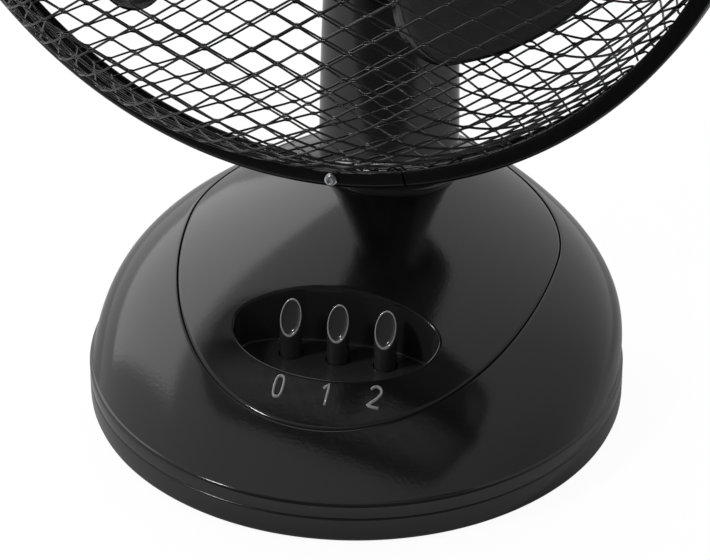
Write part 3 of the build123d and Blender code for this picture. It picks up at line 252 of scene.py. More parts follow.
well, rim = well_reach(well_turns), panel_reach(well_turns, -SEAM_GAP)
rows = [over(rim * 0.97, 1.9)] + [over(rim - inward, drop) for inward, drop in PANEL_EDGE]
rows += [over(well + 1.0 + (rim - 1.2 - well - 1.0) * (1 - w)) for w in np.linspace(0, 1, 90)]
rows += [over(well + outward, drop) for outward, drop in WELL_EDGE]
wall_from = len(rows) - 1
wall_top = dome_height(*(middle + heading * well[:, None]).T) - WALL_TOP
for w in np.linspace(0.1, 1, 12):
    rows.append(level(well - WALL_DRAFT * w, wall_top + (WELL["floor"] + WALL_FOOT - wall_top) * w))
rows += [level(well - inward, WELL["floor"] + up) for inward, up in ((0.6, 0.4), (0.9, 0.1), (1.4, 0.0))]
panel = rows_piece("panel_skin", rows, "base", "black_gloss", black_gloss, "control_panel")
# The well's walls and floor are drawn in a lighter grey than the panel's black plastic: painted light for the
# light that falls into the well.
well_painted_light = moulded("well_painted_light", (0.035, 0.035, 0.036), 0.12)
painted_light_rows(panel, well_painted_light, len(well_turns), wall_from, len(rows))

outline = [Vector(p) for p in rows[-1][::4, :2].tolist()]
loops = [list(range(len(outline)))]
for x in KEYS_X:
    start = len(outline)
    outline += [Vector((x + HOLE_R * math.cos(a), KEY_Y + HOLE_R * math.sin(a)))
                for a in np.linspace(0, 2 * math.pi, 49)[:-1]]
    loops.append(list(range(start, start + 48))[::-1])
spots, _, cuts = delaunay_2d_cdt(outline, [], loops, 1, 1e-4)[:3]
kept = []
for cut in cuts:
    centre = sum((spots[i] for i in cut), Vector((0, 0))) / len(cut)
    if all((centre - Vector((x, KEY_Y))).length > HOLE_R - 0.05 for x in KEYS_X):
        kept.append(tuple(cut))
mesh_piece("well_floor", [(p.x, p.y, WELL["floor"]) for p in spots], kept, "base", "black_gloss",
           well_painted_light, smooth=False)
for i, x in enumerate(KEYS_X):
    around = TURNS[::6]
    collar = [np.column_stack([x + HOLE_R * np.cos(around), KEY_Y + HOLE_R * np.sin(around), np.full(60, z)])
              for z in (WELL["floor"], WELL["floor"] - HOLE_DEPTH)]
    rows_piece(f"key_hole_{i}", collar, "base", "black_gloss", black_gloss)

# ------------------------------------------------------------------ the raised digits
# 0, 1 and 2 are rounded ridges moulded on the panel in front of the keys.  They are black like
# the panel, and drawn in a pale finish that stands for the light that their edges catch.
DIGITS_AT = ((-12.7, -51.3), (3.0, -52.3), (18.0, -50.3))
RIDGE = ((-0.38, -0.2), (-0.34, 0.3), (-0.15, 0.5), (0.15, 0.5), (0.34, 0.3), (0.38, -0.2))


def squared(value, power):
    """Pulls a sine or cosine out towards 1, for an oval with fuller corners."""
    return math.copysign(abs(value) ** power, value)


STROKES = (
    [(1.4 * squared(math.sin(a), 0.6), 3.5 * squared(math.cos(a), 0.8))
     for a in np.linspace(0, 2 * math.pi, 41)[:-1]],
    [(-1.4, 1.9), (-0.7, 2.7), (0.1, 3.5), (0.15, 2.5), (0.15, 0.0), (0.15, -3.5)],
    [(1.7 * math.sin(a), 1.8 + 1.7 * math.cos(a)) for a in np.linspace(-1.3, 2.0, 16)]
    + [(0.7, -0.5), (-0.6, -1.9), (-1.8, -3.2), (-1.2, -3.35), (0.3, -3.4), (1.9, -3.45)],
)
digit_sheen = moulded("digit_sheen", (0.45, 0.45, 0.46), 0.12, coat=1.0)
for digit, (stroke, spot) in enumerate(zip(STROKES, DIGITS_AT)):
    path = np.array(stroke) + spot
    looped = digit == 0
    count, wide = len(path), len(RIDGE)
    points, faces = [], []
    for i in range(count):
        before = path[(i - 1) % count] if looped or i > 0 else path[i]
        after = path[(i + 1) % count] if looped or i < count - 1 else path[i]
        run = (after - before) / np.linalg.norm(after - before)
        side = np.array([-run[1], run[0]])
        for across, up in RIDGE:
            x, y = path[i] + side * across
            points.append((x, y, float(dome_height(np.array([x]), np.array([y]))[0]) + up))
    for i in range(count if looped else count - 1):
        k = (i + 1) % count
        faces += [(i * wide + j, i * wide + j + 1, k * wide + j + 1, k * wide + j) for j in range(wide - 1)]
    if not looped:
        faces += [tuple(range(wide)), tuple((count - 1) * wide + j for j in range(wide))[::-1]]
    mesh_piece(f"digit_{digit}", points, faces, "base", "black_gloss", digit_sheen)

# ------------------------------------------------------------------ the push keys
# Three upright round keys of black plastic, each on a stem with a flange under the panel.  Their
# tops are cut at a slant into long ovals, with a rounded rim and a slightly hollowed face.
KEY_R, FRONT_H, BACK_H = 3.6, 8.3, 19.2
STEM = ((0.05, 9.2), (2.0, 9.2), (2.0, 23.0), (4.9, 23.0), (4.9, 24.4), (KEY_R, 24.4), (KEY_R, 26.0))
KEY_TOP = ((KEY_R, 1.9), (KEY_R, 1.0), (KEY_R - 0.06, 0.6), (KEY_R - 0.18, 0.3), (KEY_R - 0.34, 0.12),
           (KEY_R - 0.52, 0.12), (KEY_R - 0.68, 0.3), (KEY_R - 0.85, 0.62), (KEY_R * 0.55, 0.95),
           (KEY_R * 0.3, 1.08), (0.05, 1.12))
BRIGHT_FROM, BRIGHT_TO = 10, 12
key_turns = np.linspace(0, 2 * math.pi, 97)[:-1]


def key_level(x, r, z):
    """A level row round a key's axis."""
    return np.column_stack([x + r * np.cos(key_turns), KEY_Y + r * np.sin(key_turns), np.full(96, z)])


def key_slant(x, r, sink):
    """A row round a key's axis that lies in its slanted top, or a little under it."""
    px, py = r * np.cos(key_turns), r * np.sin(key_turns)
    slope = (BACK_H - FRONT_H) / (2 * KEY_R)
    return np.column_stack([x + px, KEY_Y + py, WELL["floor"] + (FRONT_H + BACK_H) / 2 + slope * py - sink])


key_gloss = moulded("key_gloss", (0.045, 0.045, 0.047), 0.1)
# A thin band round each key's rim is painted pale grey: a painted highlight for the light that the rim
# catches.
rim_painted_highlight = moulded("rim_painted_highlight", (0.5, 0.5, 0.51), 0.14, coat=1.0)
for i, (x, body) in enumerate(zip(KEYS_X, ("key_left", "key_middle", "key_right"))):
    rows = [key_level(x, r, z) for r, z in STEM] + [key_slant(x, r, sink) for r, sink in KEY_TOP]
    key = rows_piece(f"key_cap_{i}", rows, body, "black_gloss", key_gloss, f"key_{i}", caps=("last",))
    painted_light_rows(key, rim_painted_highlight, len(key_turns), BRIGHT_FROM, BRIGHT_TO)

# ------------------------------------------------------------------ the bottom cover
# The lower half of the base: the same black plastic, meeting the shell at a fine parting line
# low on the skirt, with a rounded edge underneath.
COVER = ((84.8, 0.76), (85.7, 0.82), (86.5, 1.15), (87.1, 1.75), (87.4, 2.55), (87.56, 3.6),
         (87.56, 6.0), (87.56, 9.2), (87.5, 9.6), (87.35, 9.85), (87.0, 10.02), (86.4, 10.03))
cover_plastic = moulded("cover_plastic", (0.010, 0.010, 0.011), 0.2)
rows_piece("cover_skirt", base_round(COVER), "base", "black_gloss", cover_plastic)

# ------------------------------------------------------------------ the neck
# An oval column of black plastic that stands on the panel's flat top and leans back a little.
# Two rounded ears at its top hold the tilt bolt.
NECK_OVALS = ((58.0, 23.4, 19.5, 46.0), (100.0, 22.8, 18.4, 47.0), (143.5, 20.5, 16.5, 45.5))
NECK_FOOT = ((57.6, 0.9), (57.9, 0.75), (58.3, 0.3), (59.0, 0.05))
NECK_END = ((142.6, -0.3), (143.2, -0.9), (143.5, -1.8))
BOLT_Y, BOLT_Z, EAR_R, EAR_FOOT = 44.0, 157.5, 10.0, 143.0
EAR_SHEETS = ((11.0, 0.5), (11.3, 0.0), (15.7, 0.0), (16.0, 0.5))


def neck_row(z, grow):
    """A level row round the neck through its three ovals, grown by a little."""
    heights = [oval[0] for oval in NECK_OVALS]
    half, deep, mid = [np.polyval(np.polyfit(heights, [oval[k] for oval in NECK_OVALS], 2), z)
                       for k in (1, 2, 3)]
    half, deep, turn = half + grow, deep + grow, TURNS[::3]
    return np.column_stack([half * np.cos(turn), mid + deep * np.sin(turn), np.full(len(turn), z)])


neck_levels = NECK_FOOT + tuple((z, 0.0) for z in np.linspace(60, 141.5, 30)) + NECK_END
rows_piece("neck_skin", [neck_row(z, grow) for z, grow in neck_levels], "base", "black_gloss", black_gloss,
           "neck", caps=("last",))
arc = [(BOLT_Y + EAR_R * math.cos(a), BOLT_Z + EAR_R * math.sin(a)) for a in np.linspace(0, math.pi, 33)]
lobe = [(BOLT_Y + EAR_R, EAR_FOOT)] + arc + [(BOLT_Y - EAR_R, EAR_FOOT)]
for side, hand in ((-1, "left"), (1, "right")):
    sheets = [[(side * x, BOLT_Y + (y - BOLT_Y) * (1 - shrink / EAR_R), z - shrink * (z > 150))
               for y, z in lobe] for x, shrink in EAR_SHEETS]
    rows_piece(f"neck_ear_{hand}", sheets, "base", "black_gloss", black_gloss, caps=("first", "last"))

# ------------------------------------------------------------------ the ring
# A round band of black plastic with a smooth face that grips the rims of both guards.  Its two
# ends meet low on the right, and one bright zinc-plated screw closes it beside the joint.
TILT, PAN, CLOCK = math.radians(6.1), math.radians(10.3), math.radians(7.4)
HEAD_UP = np.array([0, math.sin(TILT), math.cos(TILT)])
HEAD_OUT = np.array([-math.sin(PAN), -math.cos(PAN) * math.cos(TILT), math.cos(PAN) * math.sin(TILT)])
HEAD_RIGHT = np.cross(HEAD_UP, HEAD_OUT)
MOTOR_UP = 74.0
MOTOR = np.array([0, BOLT_Y, BOLT_Z]) + HEAD_UP * MOTOR_UP
BAND = ((137.0, 65.2), (137.0, 65.0), (140.6, 65.0), (141.6, 65.15), (142.2, 65.6), (142.5, 66.4),
        (142.5, 68.0), (142.2, 68.4), (142.2, 70.6), (142.5, 71.0), (142.5, 72.4), (142.2, 73.3),
        (141.5, 73.85), (140.6, 74.0), (138.4, 74.05), (137.4, 73.95), (137.05, 73.7), (137.0, 73.2),
        (137.0, 72.9), (141.2, 72.8), (141.3, 72.4), (141.3, 66.6), (141.2, 66.2), (137.1, 66.15),
        (137.0, 65.9), (137.0, 65.2))
JOINT_TURN, JOINT_GAP = math.radians(-74.0), 0.35 / 142
SCREW_R, SCREW_TURN = 139.7, math.radians(-83.9)
SCREW = ((1.3, 62.4), (1.3, 74.0), (2.1, 74.0), (2.1, 74.5), (2.0, 75.0), (1.7, 75.35), (1.2, 75.55),
         (0.8, 75.6), (0.75, 75.1), (0.05, 75.05))


def head(points):
    """Points given as right, up and forward of the motor's middle, in mm."""
    p = np.asarray(points, float)
    return MOTOR + p[..., :1] * HEAD_RIGHT + p[..., 1:2] * HEAD_UP + p[..., 2:3] * HEAD_OUT


def axis_row(radius, forward, turn, right=0.0, up=0.0):
    """A row about the fan's axis, or about a line beside it."""
    return head(np.column_stack([right + radius * np.cos(turn), up + radius * np.sin(turn),
                                 np.full(len(turn), forward)]))


def turned(profile, turn, name, body, slot, material, *nodes, closed=True, caps=()):
    """A turned piece about the fan's axis: profile is (radius, forward) pairs."""
    rows = [axis_row(r, f, turn) for r, f in profile]
    return rows_piece(name, rows, body, slot, material, *nodes, closed=closed, caps=caps)


ring_gloss = moulded("ring_gloss", (0.006, 0.006, 0.007), 0.16, shine=0.3)
band_turns = np.linspace(JOINT_TURN + JOINT_GAP, JOINT_TURN + 2 * math.pi - JOINT_GAP, 361)
turned(BAND, band_turns, "ring_skin", "head", "black_gloss", ring_gloss, "ring_band", closed=False)

zinc = moulded("zinc_plate", (0.72, 0.73, 0.75), 0.22, metal=1.0)
screw_turns = np.linspace(0, 2 * math.pi, 49)[:-1]
screw_x, screw_y = SCREW_R * math.cos(SCREW_TURN), SCREW_R * math.sin(SCREW_TURN)
rows = [axis_row(r, f, screw_turns, screw_x, screw_y) for r, f in SCREW]
rows_piece("ring_screw_skin", rows, "head", "zinc", zinc, "ring_screw", caps=("last",))

# ------------------------------------------------------------------ the wire guards
# Two shallow baskets of thin black zigzag wires, each wire spot-welded to its neighbours at short
# flats so that they make a net of flat diamonds.  The net bends over a shoulder to the ring.
CELL_W, CELL_H, WIRE, FLAT, WELD = 15.6, 8.2, 0.36, 0.85, 0.97
FRONT_NET = dict(foot=69.6, toward=1, depth=40.8, bend=(125.2, 26.5), inside=12.0, aside=0.0)
REAR_NET = dict(foot=69.4, toward=-1, depth=35.4, bend=(126.6, 24.8), inside=27.0, aside=0.25)
SHOULDER_R, SHOULDER_FALL, SWELL = 111.0, 4.7, (56.0, 1.15)
LEG_R, LEG_H, LEG_SPREAD, FOOT = 130.2, 18.0, 6.2, (138.2, 0.3)
RIM_WIRE_R, RIM_WIRE, RIM_WIRES = 139.0, 1.4, (("front_rim_wire", 71.1), ("rear_rim_wire", 67.9))
SEAT_DISC = ((27.6, 36.0), (27.6, 35.2), (27.0, 34.4), (26.0, 34.05), (16.3, 34.0), (16.3, 35.6),
             (26.0, 35.6), (27.6, 36.0))
wire_sides = np.linspace(0, 2 * math.pi, 7)[:-1]


def arc_through(a, m, b, count):
    """Points of the circle's arc from a through m to b."""
    (ax, ay), (mx, my), (bx, by) = a, m, b
    aa, mm, bb = ax ** 2 + ay ** 2, mx ** 2 + my ** 2, bx ** 2 + by ** 2
    d = 2 * (ax * (my - by) + mx * (by - ay) + bx * (ay - my))
    ux = (aa * (my - by) + mm * (by - ay) + bb * (ay - my)) / d
    uy = (aa * (bx - mx) + mm * (ax - bx) + bb * (mx - ax)) / d
    r = math.hypot(ax - ux, ay - uy)
    start, end = math.atan2(ay - uy, ax - ux), math.atan2(by - uy, bx - ux)
    span = (end - start + math.pi) % (2 * math.pi) - math.pi
    return [(ux + r * math.cos(start + span * w), uy + r * math.sin(start + span * w))
            for w in np.linspace(0, 1, count)]


def net_line(foot, toward, depth, bend):
    """The net's profile from its middle out into the ring: radius, forward, and length so far."""
    shoulder = (SHOULDER_R, depth - SHOULDER_FALL)
    line = arc_through((0.0, depth), (SWELL[0], depth - SWELL[1]), shoulder, 60)
    line += arc_through(shoulder, bend, (LEG_R, LEG_H), 30)[1:]
    line += [(LEG_R + LEG_SPREAD * w, LEG_H * (1 - w)) for w in np.linspace(0, 1, 12)[1:]] + [FOOT]
    line = np.array(line) * (1, toward) + (0.0, foot - toward * WIRE)
    return line, np.concatenate([[0], np.cumsum(np.hypot(*np.diff(line, axis=0).T))])


def zigzag(k, reach, aside):
    """Wire number k laid out flat, with a short flat at each weld."""
    path = []
    for i in range(-int(reach / CELL_W * 2) - 1, int(reach / CELL_W * 2) + 2):
        up = (i + k) % 2
        x = (i / 2 + aside) * CELL_W
        y = ((k + up) / 2 + aside) * CELL_H + (-WIRE if up else WIRE) * WELD
        path += [(x - FLAT, y), (x + FLAT, y)]
    return path


def stretches(path, inside, reach):
    """The stretches of a flat wire between the net's open middle and its foot."""
    runs, run = [], []
    for (x0, y0), (x1, y1) in zip(path[:-1], path[1:]):
        for w in (0.0, 0.25, 0.5, 0.75):
            x, y = x0 + (x1 - x0) * w, y0 + (y1 - y0) * w
            if inside < math.hypot(x, y) < reach:
                run.append((x, y))
            elif run:
                runs.append(run)
                run = []
    return [r for r in runs + [run] if len(r) >= 3]


def wire_points(run, line, length, slope):
    """Points round a wire once its flat run is bent over the net's profile."""
    flat = np.array(run)
    far = np.hypot(*flat.T)
    turn = np.arctan2(flat[:, 1], flat[:, 0]) + CLOCK
    r, f = np.interp(far, length, line[:, 0]), np.interp(far, length, line[:, 1])
    dr, df = np.interp(far, length, slope[:, 0]), np.interp(far, length, slope[:, 1])
    spot = head(np.column_stack([r * np.cos(turn), r * np.sin(turn), f]))
    out = np.cos(turn)[:, None] * HEAD_RIGHT + np.sin(turn)[:, None] * HEAD_UP
    normal = -df[:, None] * out + dr[:, None] * HEAD_OUT
    side = np.cross(np.gradient(spot, axis=0), normal)
    side /= np.linalg.norm(side, axis=1)[:, None]
    normal /= np.linalg.norm(normal, axis=1)[:, None]
    points = []
    for p, s, n in zip(spot, side, normal):
        points += [p + WIRE * (s * math.cos(a) + n * math.sin(a)) for a in wire_sides]
    return points


def wire_net(name, node, foot, toward, depth, bend, inside, aside):
    """All the wires of one guard, as one mesh of thin six-sided tubes."""
    line, length = net_line(foot, toward, depth, bend)
    slope = np.gradient(line, length, axis=0)
    reach, n = length[-1], len(wire_sides)
    points, faces = [], []
    for k in range(-int(reach / CELL_H * 2) - 1, int(reach / CELL_H * 2) + 2):
        for run in stretches(zigzag(k, reach, aside), inside, reach):
            for j in range(len(points), len(points) + (len(run) - 1) * n, n):
                for q in range(n):
                    faces.append((j + q, j + (q + 1) % n, j + n + (q + 1) % n, j + n + q))
            points += wire_points(run, line, length, slope)
    return mesh_piece(name, points, faces, "head", "black_wire", wire_black, node)


wire_black = moulded("wire_black", (0.02, 0.02, 0.021), 0.2, speck=0.0004)
wire_net("front_net", "front_guard", **FRONT_NET)
wire_net("rear_net", "rear_guard", **REAR_NET)
for name, foot in RIM_WIRES:
    turned([(RIM_WIRE_R + RIM_WIRE * math.cos(a), foot + RIM_WIRE * math.sin(a))
            for a in np.linspace(0, 2 * math.pi, 13)], TURNS, name, "head", "black_wire", wire_black)
turned(SEAT_DISC, TURNS[::3], "rear_seat_disc", "head", "black_wire", wire_black)

# ------------------------------------------------------------------ the front badge
# A plain round cap of black plastic closes the middle of the front guard, held from behind by a
# push-on clip.  It carries no name.
BADGE_F = FRONT_NET["foot"] + FRONT_NET["depth"]
BADGE = ((4.0, -5.0), (4.0, 0.0), (23.4, 0.0), (23.9, 0.2), (24.0, 0.7), (23.8, 1.3), (23.0, 1.9),
         (21.5, 2.3), (20.6, 2.2), (20.0, 2.0), (19.4, 2.3), (14.0, 2.7), (7.0, 2.95), (0.1, 3.0))
turned([(r, BADGE_F + f) for r, f in BADGE], TURNS[::3], "badge_skin", "head", "black_gloss", black_gloss,
       "front_badge", caps=("last",))

# ------------------------------------------------------------------ the fan blade
# One black moulding: a round hub cup with three broad pitched blades, rounded at the tips, and
# a fluted nut that holds it on the shaft.
BLADE_F, TIP, ROOT, TIP_ROUND, FIRST_TURN = 57.0, 115.0, 17.0, 16.0, -37.0
EDGE_LEAN, EDGE_X, EDGE_Y = math.radians(39.4), 12.0, 14.0
BLADE_HALF, EDGE_HALF, THIN_OVER, THIN_SHARE = 0.85, 0.02, 1.4, 0.7
BELLY, BELLY_OVER, BLADE_LENGTH = 2.2, 50, 105.0
RISE_AT_ROOT, RISE_MORE, CHORD_AT_ROOT, CHORD_MORE = 15.7, 4.3, 23.2, 90.1
HUB_CUP = ((19.0, 46.0), (19.0, 69.6), (18.8, 70.6), (18.2, 71.4), (17.2, 71.9), (16.0, 72.0), (4.1, 72.0))
HUB_INSIDE = ((4.1, 69.4), (16.4, 69.4), (16.4, 46.0), (19.0, 46.0))
HUB_BOSS = ((4.05, 46.0), (8.0, 46.0), (8.0, 69.5))
SPINNER = ((11.6, 72.0, 1), (12.0, 72.4, 1), (12.0, 82.4, 1), (11.4, 85.2, 1), (9.6, 86.6, 0.6),
           (6.5, 87.0, 0), (0.1, 87.0, 0))


def edge_angle(r):
    """Half the angle that a blade covers at radius r."""
    slope = math.tan(EDGE_LEAN)
    b = EDGE_Y - slope * EDGE_X
    root = math.sqrt((slope * b) ** 2 - (1 + slope ** 2) * (b ** 2 - r ** 2))
    x = (-slope * b + root) / (1 + slope ** 2)
    angle = math.atan2(slope * x + b, x)
    if r > TIP - TIP_ROUND:
        cut = TIP_ROUND - math.sqrt(max(TIP_ROUND ** 2 - (r - TIP + TIP_ROUND) ** 2, 0))
        angle -= cut / r
    return angle


def blade_point(r, w, face, turn):
    """A point on one face of a blade: w runs from -1 at one edge to 1 at the other."""
    a = edge_angle(r) * w
    x, y = r * math.cos(a), r * math.sin(a)
    along = min(max((x - EDGE_X) / BLADE_LENGTH, 0.0), 1.0)
    lean = (RISE_AT_ROOT + RISE_MORE * along) / (CHORD_AT_ROOT + CHORD_MORE * along)
    belly = BELLY * (1 - w * w) * min(1.0, (r - ROOT) / BELLY_OVER)
    thin = 1 - max(0, (r - TIP + THIN_OVER) / THIN_OVER) ** 2 * THIN_SHARE
    half = BLADE_HALF * (1 - w ** 8) ** 0.5 * thin + EDGE_HALF
    return (r * math.cos(turn + a), r * math.sin(turn + a), BLADE_F + y * lean - belly + face * half)


def fluted_row(r, f, deep, wave, turn):
    """A row about the fan's axis with flutes; deep says how much of the wave it takes."""
    return axis_row(r * (1 - (1 - wave) * deep), f, turn)


blade_gloss = moulded("blade_gloss", (0.012, 0.012, 0.013), 0.14)
reaches = list(np.linspace(ROOT, TIP - TIP_ROUND, 24))
reaches += [TIP - TIP_ROUND + TIP_ROUND * math.sin(a) for a in np.linspace(0.1, math.pi / 2 - 0.02, 14)]
widths = np.linspace(-1, 1, 33)
for i in range(3):
    turn = math.radians(FIRST_TURN + 120 * i)
    rows = []
    for r in reaches:
        top = [blade_point(r, w, 1, turn) for w in widths]
        under = [blade_point(r, w, -1, turn) for w in widths[::-1]]
        rows.append(head(np.array(top + under)))
    rows_piece(f"blade_{i}", rows, "rotor", "black_gloss", blade_gloss, caps=("last",))
turned(HUB_CUP, TURNS[::3], "hub_skin", "rotor", "black_gloss", blade_gloss, "fan_blade")
turned(HUB_INSIDE, TURNS[::3], "hub_inside", "rotor", "black_gloss", blade_gloss)
turned(HUB_BOSS, TURNS[::3], "hub_boss", "rotor", "black_gloss", blade_gloss)
flutes = 1 - 0.05 * (0.5 + 0.5 * np.cos(8 * TURNS[::2]))
rows = [fluted_row(r, f, deep, flutes, TURNS[::2]) for r, f, deep in SPINNER]
rows_piece("spinner_skin", rows, "rotor", "black_gloss", blade_gloss, "spinner_nut", caps=("first", "last"))

# ------------------------------------------------------------------ the rear cover
# The motor's housing: a round black shell with a band of vent slots round its shoulder, drawn as
# dark strips of painted shade, and a short skirt below that covers the oscillating link.
HOUSING = ((42.0, 34.0), (43.5, 34.0), (44.0, 33.5), (44.0, 20.0), (44.0, -8.0), (44.0, -9.0), (44.0, -30.0),
           (43.6, -35.0), (42.6, -40.0), (40.6, -43.6), (37.4, -47.0), (34.6, -49.0), (31.0, -50.0),
           (26.0, -50.0), (25.0, -49.6), (10.0, -49.6), (9.0, -50.0), (1.9, -50.0))
VENT_R, VENT_HALF, VENT_ENDS, VENT_STEP, BARE_BELOW = 44.08, 0.018, (-11.0, -28.0), 6, 140
CHIN_BACK = -10.0
CHIN = ((30.0, -34.0), (30.0, -60.2), (29.7, -60.8), (29.0, -61.0), (28.4, -60.9), (28.0, -60.4),
        (28.0, -40.0))


def upright_row(radius, up, turn, right, forward):
    """A level row about an upright line of the head."""
    return head(np.column_stack([right + radius * np.cos(turn), np.full(len(turn), up),
                                 forward + radius * np.sin(turn)]))


cover_black = moulded("cover_black", (0.012, 0.012, 0.013), 0.2)
# The vent slots are thin dark strips laid on the shell: painted shade for the dark inside of open slots.
slot_painted_shade = moulded("slot_painted_shade", (0.004, 0.004, 0.004), 0.6)
turned(HOUSING, TURNS, "cover_skin", "head", "black_gloss", cover_black, "rear_cover")
vents, faces = [], []
for i in range(360 // VENT_STEP):
    a = math.radians(VENT_STEP * i)
    if abs((math.degrees(a) + 90) % 360 - 180) > BARE_BELOW:
        continue
    start = len(vents)
    for f in VENT_ENDS:
        vents += [(VENT_R * math.cos(a + da), VENT_R * math.sin(a + da), f) for da in (-VENT_HALF, VENT_HALF)]
    faces.append((start, start + 1, start + 3, start + 2))
mesh_piece("vent_slots", head(np.array(vents)), faces, "head", "black_gloss", slot_painted_shade)
rows = [upright_row(r, up, TURNS[::3], 0.0, CHIN_BACK) for r, up in CHIN]
rows_piece("chin_skin", rows, "head", "black_gloss", cover_black)

# ------------------------------------------------------------------ the oscillation knob
# A small black knob on top of the housing, with fine grips round it.  It stands over the worm
# wheel and pulls up to stop the swing.
KNOB_RIGHT, KNOB_FORWARD, GRIPS, GRIP_DEPTH = 12.3, -24.0, 24, 0.03
KNOB = ((2.6, 14.0, 0), (2.6, 44.8, 0), (6.6, 44.8, 1), (7.0, 45.3, 1), (7.0, 55.4, 1), (6.6, 56.8, 0.8),
        (5.6, 57.6, 0.2), (3.0, 57.8, 0), (0.1, 57.75, 0))
grip = 1 - GRIP_DEPTH * (0.5 + 0.5 * np.cos(GRIPS * TURNS[::2]))
rows = [upright_row(r * (1 - (1 - grip) * deep), up, TURNS[::2], KNOB_RIGHT, KNOB_FORWARD)
        for r, up, deep in KNOB]
rows_piece("knob_skin", rows, "knob", "black_gloss", black_gloss, "oscillation_knob", caps=("first", "last"))

# ------------------------------------------------------------------ the guard nut
# A broad plastic nut with shallow lugs that clamps the rear guard to the motor's front.
LUGS, LUG_DEPTH = 16, 0.05
GUARD_NUT = ((16.05, 36.0, 0), (25.5, 36.0, 0), (27.0, 36.6, 1), (27.0, 41.6, 1), (26.4, 42.6, 0.9),
             (25.0, 43.0, 0.2), (16.6, 43.0, 0), (16.05, 42.6, 0), (16.05, 36.0, 0))
lugs = 1 - LUG_DEPTH * (0.5 + 0.5 * np.cos(LUGS * TURNS))
rows = [fluted_row(r, f, deep, lugs, TURNS) for r, f, deep in GUARD_NUT]
rows_piece("guard_nut_skin", rows, "head", "black_gloss", black_gloss, "guard_nut")

# ------------------------------------------------------------------ the parts inside
# The motor, the bearings, the tilt block and the fasteners keep their own shapes and take the
# finish of their metals and plastics.
finishes = {
    "black_gloss": black_gloss,
    "black_wire": wire_black,
    "zinc": zinc,
    "rubber": moulded("soft_rubber", (0.022, 0.022, 0.022), 0.7, speck=0.002),
    "inner_plastic": moulded("pale_plastic", (0.55, 0.54, 0.50), 0.4),
    "cast_weight": moulded("cast_weight", (0.10, 0.10, 0.11), 0.6, speck=0.003, metal=0.6),
    "alloy": moulded("cast_alloy", (0.50, 0.51, 0.52), 0.38, speck=0.002, metal=1.0),
    "bronze": moulded("sintered_bronze", (0.50, 0.33, 0.14), 0.4, speck=0.002, metal=1.0),
    "laminations": moulded("laminations", (0.28, 0.29, 0.31), 0.35, speck=0.002, metal=1.0),
    "winding": moulded("enamelled_wire", (0.42, 0.13, 0.05), 0.25, speck=0.003, metal=0.8),
}
for part in frame["record"]["subparts"]:
    node = frame["nodes"][part["node"]]
    node.data.materials.clear()
    node.data.materials.append(finishes[part["material_slot"]])

# ------------------------------------------------------------------ the room
# Plain surroundings: bright behind the fan and to its left, dim in front and to its right.  The
# camera sees them as plain white.
BRIGHT_WAY = (-0.17, 0.47, 0.0)
SHADES = ((0.2, 0.1), (0.5, 0.38), (0.6, 0.44), (0.92, 1.0))
world = bpy.data.worlds.new("surround")
bpy.context.scene.world = world
world.use_nodes = True
tree = world.node_tree
way = tree.nodes.new("ShaderNodeTexCoord")
facing = tree.nodes.new("ShaderNodeVectorMath")
facing.operation = "DOT_PRODUCT"
facing.inputs[1].default_value = BRIGHT_WAY
tree.links.new(way.outputs["Generated"], facing.inputs[0])
lifted = tree.nodes.new("ShaderNodeMath")
lifted.inputs[1].default_value = 0.5
tree.links.new(facing.outputs["Value"], lifted.inputs[0])
shades = tree.nodes.new("ShaderNodeValToRGB")
stops = shades.color_ramp.elements
stops[0].position, stops[1].position = SHADES[0][0], SHADES[-1][0]
for place, _ in SHADES[1:-1]:
    stops.new(place)
for stop, (place, shade) in zip(stops, SHADES):
    stop.color = (shade, shade, shade, 1)
tree.links.new(lifted.outputs["Value"], shades.inputs["Fac"])
room = tree.nodes["Background"]
tree.links.new(shades.outputs["Color"], room.inputs["Color"])
plain = tree.nodes.new("ShaderNodeBackground")
plain.inputs["Color"].default_value = (1, 1, 1, 1)
plain.inputs["Strength"].default_value = 1.0
seen = tree.nodes.new("ShaderNodeLightPath")
which = tree.nodes.new("ShaderNodeMixShader")
tree.links.new(seen.outputs["Is Camera Ray"], which.inputs["Fac"])
tree.links.new(room.outputs["Background"], which.inputs[1])
tree.links.new(plain.outputs["Background"], which.inputs[2])
tree.links.new(which.outputs["Shader"], tree.nodes["World Output"].inputs["Surface"])

# ------------------------------------------------------------------ the floor
# A pale matt table top that keeps a faint shadow.  In metres; it ends a little in front of the
# base, so that the front of the base mirrors the dim side of the room.
FLOOR_FRONT, FLOOR_SIDE, FLOOR_BACK = -0.13, 3, 3
GLOW, GLOW_SHARE = 1.06, 0.9
floor_mesh = bpy.data.meshes.new("floor")
floor_mesh.from_pydata([(-FLOOR_SIDE, FLOOR_FRONT, 0), (FLOOR_SIDE, FLOOR_FRONT, 0),
                        (FLOOR_SIDE, FLOOR_BACK, 0), (-FLOOR_SIDE, FLOOR_BACK, 0)], [], [(0, 1, 2, 3)])
floor = bpy.data.objects.new("floor", floor_mesh)
bpy.context.collection.objects.link(floor)
pale = bpy.data.materials.new("pale_floor")
pale.use_nodes = True
tree = pale.node_tree
tree.nodes["Principled BSDF"].inputs["Base Color"].default_value = (0.88, 0.88, 0.88, 1)
tree.nodes["Principled BSDF"].inputs["Roughness"].default_value = 0.9
glow = tree.nodes.new("ShaderNodeEmission")
glow.inputs["Color"].default_value = (1, 1, 1, 1)
glow.inputs["Strength"].default_value = GLOW
seen = tree.nodes.new("ShaderNodeLightPath")
share = tree.nodes.new("ShaderNodeMath")
share.operation = "MULTIPLY"
share.inputs[1].default_value = GLOW_SHARE
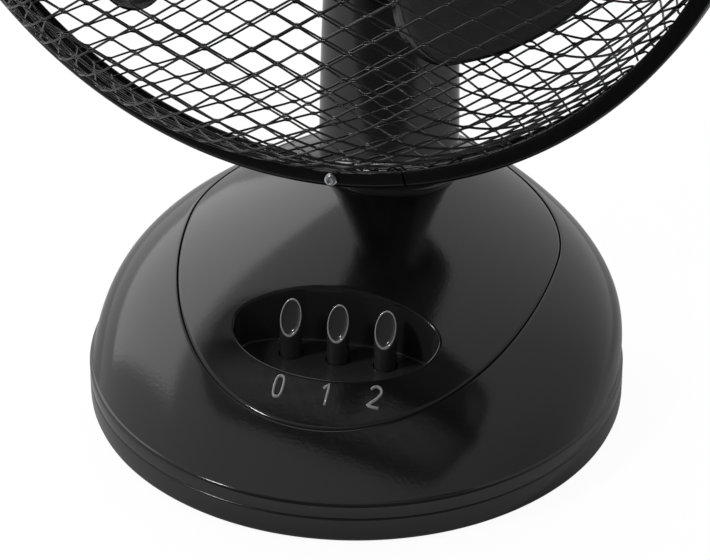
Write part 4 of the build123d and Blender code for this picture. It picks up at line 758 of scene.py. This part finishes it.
tree.links.new(seen.outputs["Is Camera Ray"], share.inputs[0])
either = tree.nodes.new("ShaderNodeMixShader")
tree.links.new(share.outputs["Value"], either.inputs["Fac"])
tree.links.new(tree.nodes["Principled BSDF"].outputs["BSDF"], either.inputs[1])
tree.links.new(glow.outputs["Emission"], either.inputs[2])
tree.links.new(either.outputs["Shader"], tree.nodes["Material Output"].inputs["Surface"])
floor_mesh.materials.append(pale)

# ------------------------------------------------------------------ the lamps
# Two soft lamps, one at the front left and a broader one at the back left, aimed at the top of
# the neck.  In metres and watts.
LAMP_AIM = Vector((0, 0, 0.15))
LAMPS = (("soft_left", (-1.6, -1.2, 1.9), 0.35, 14), ("soft_back", (-1.8, 1.4, 1.6), 1.8, 10))
for name, place, size, power in LAMPS:
    lamp = bpy.data.lights.new(name, "AREA")
    lamp.size = size
    lamp.energy = power
    light = bpy.data.objects.new(name, lamp)
    light.location = place
    light.rotation_euler = (LAMP_AIM - Vector(place)).to_track_quat("-Z", "Y").to_euler()
    bpy.context.collection.objects.link(light)

# ------------------------------------------------------------------ the camera
# It stands a metre away, to the right of the fan's front and well above it, and looks down at
# the base and the lower half of the guards.
AZIMUTH, ELEVATION, AIM_Z = math.radians(13.5), math.radians(34.0), 0.01
YAW, PITCH = math.radians(13.53), math.radians(32.5)
SENSOR, FOCAL_PIXELS, PICTURE_WIDTH = 36, 3030.4, 710
lens = bpy.data.cameras.new("camera")
lens.lens = FOCAL_PIXELS / PICTURE_WIDTH * SENSOR
lens.sensor_width = SENSOR
camera = bpy.data.objects.new("camera", lens)
camera.location = (math.sin(AZIMUTH) * math.cos(ELEVATION), -math.cos(AZIMUTH) * math.cos(ELEVATION),
                   AIM_Z + math.sin(ELEVATION))
sight = Vector((-math.sin(YAW) * math.cos(PITCH), math.cos(YAW) * math.cos(PITCH), -math.sin(PITCH)))
camera.rotation_euler = sight.to_track_quat("-Z", "Y").to_euler()
bpy.context.collection.objects.link(camera)
bpy.context.scene.camera = camera
bpy.context.scene.view_settings.view_transform = "Standard"
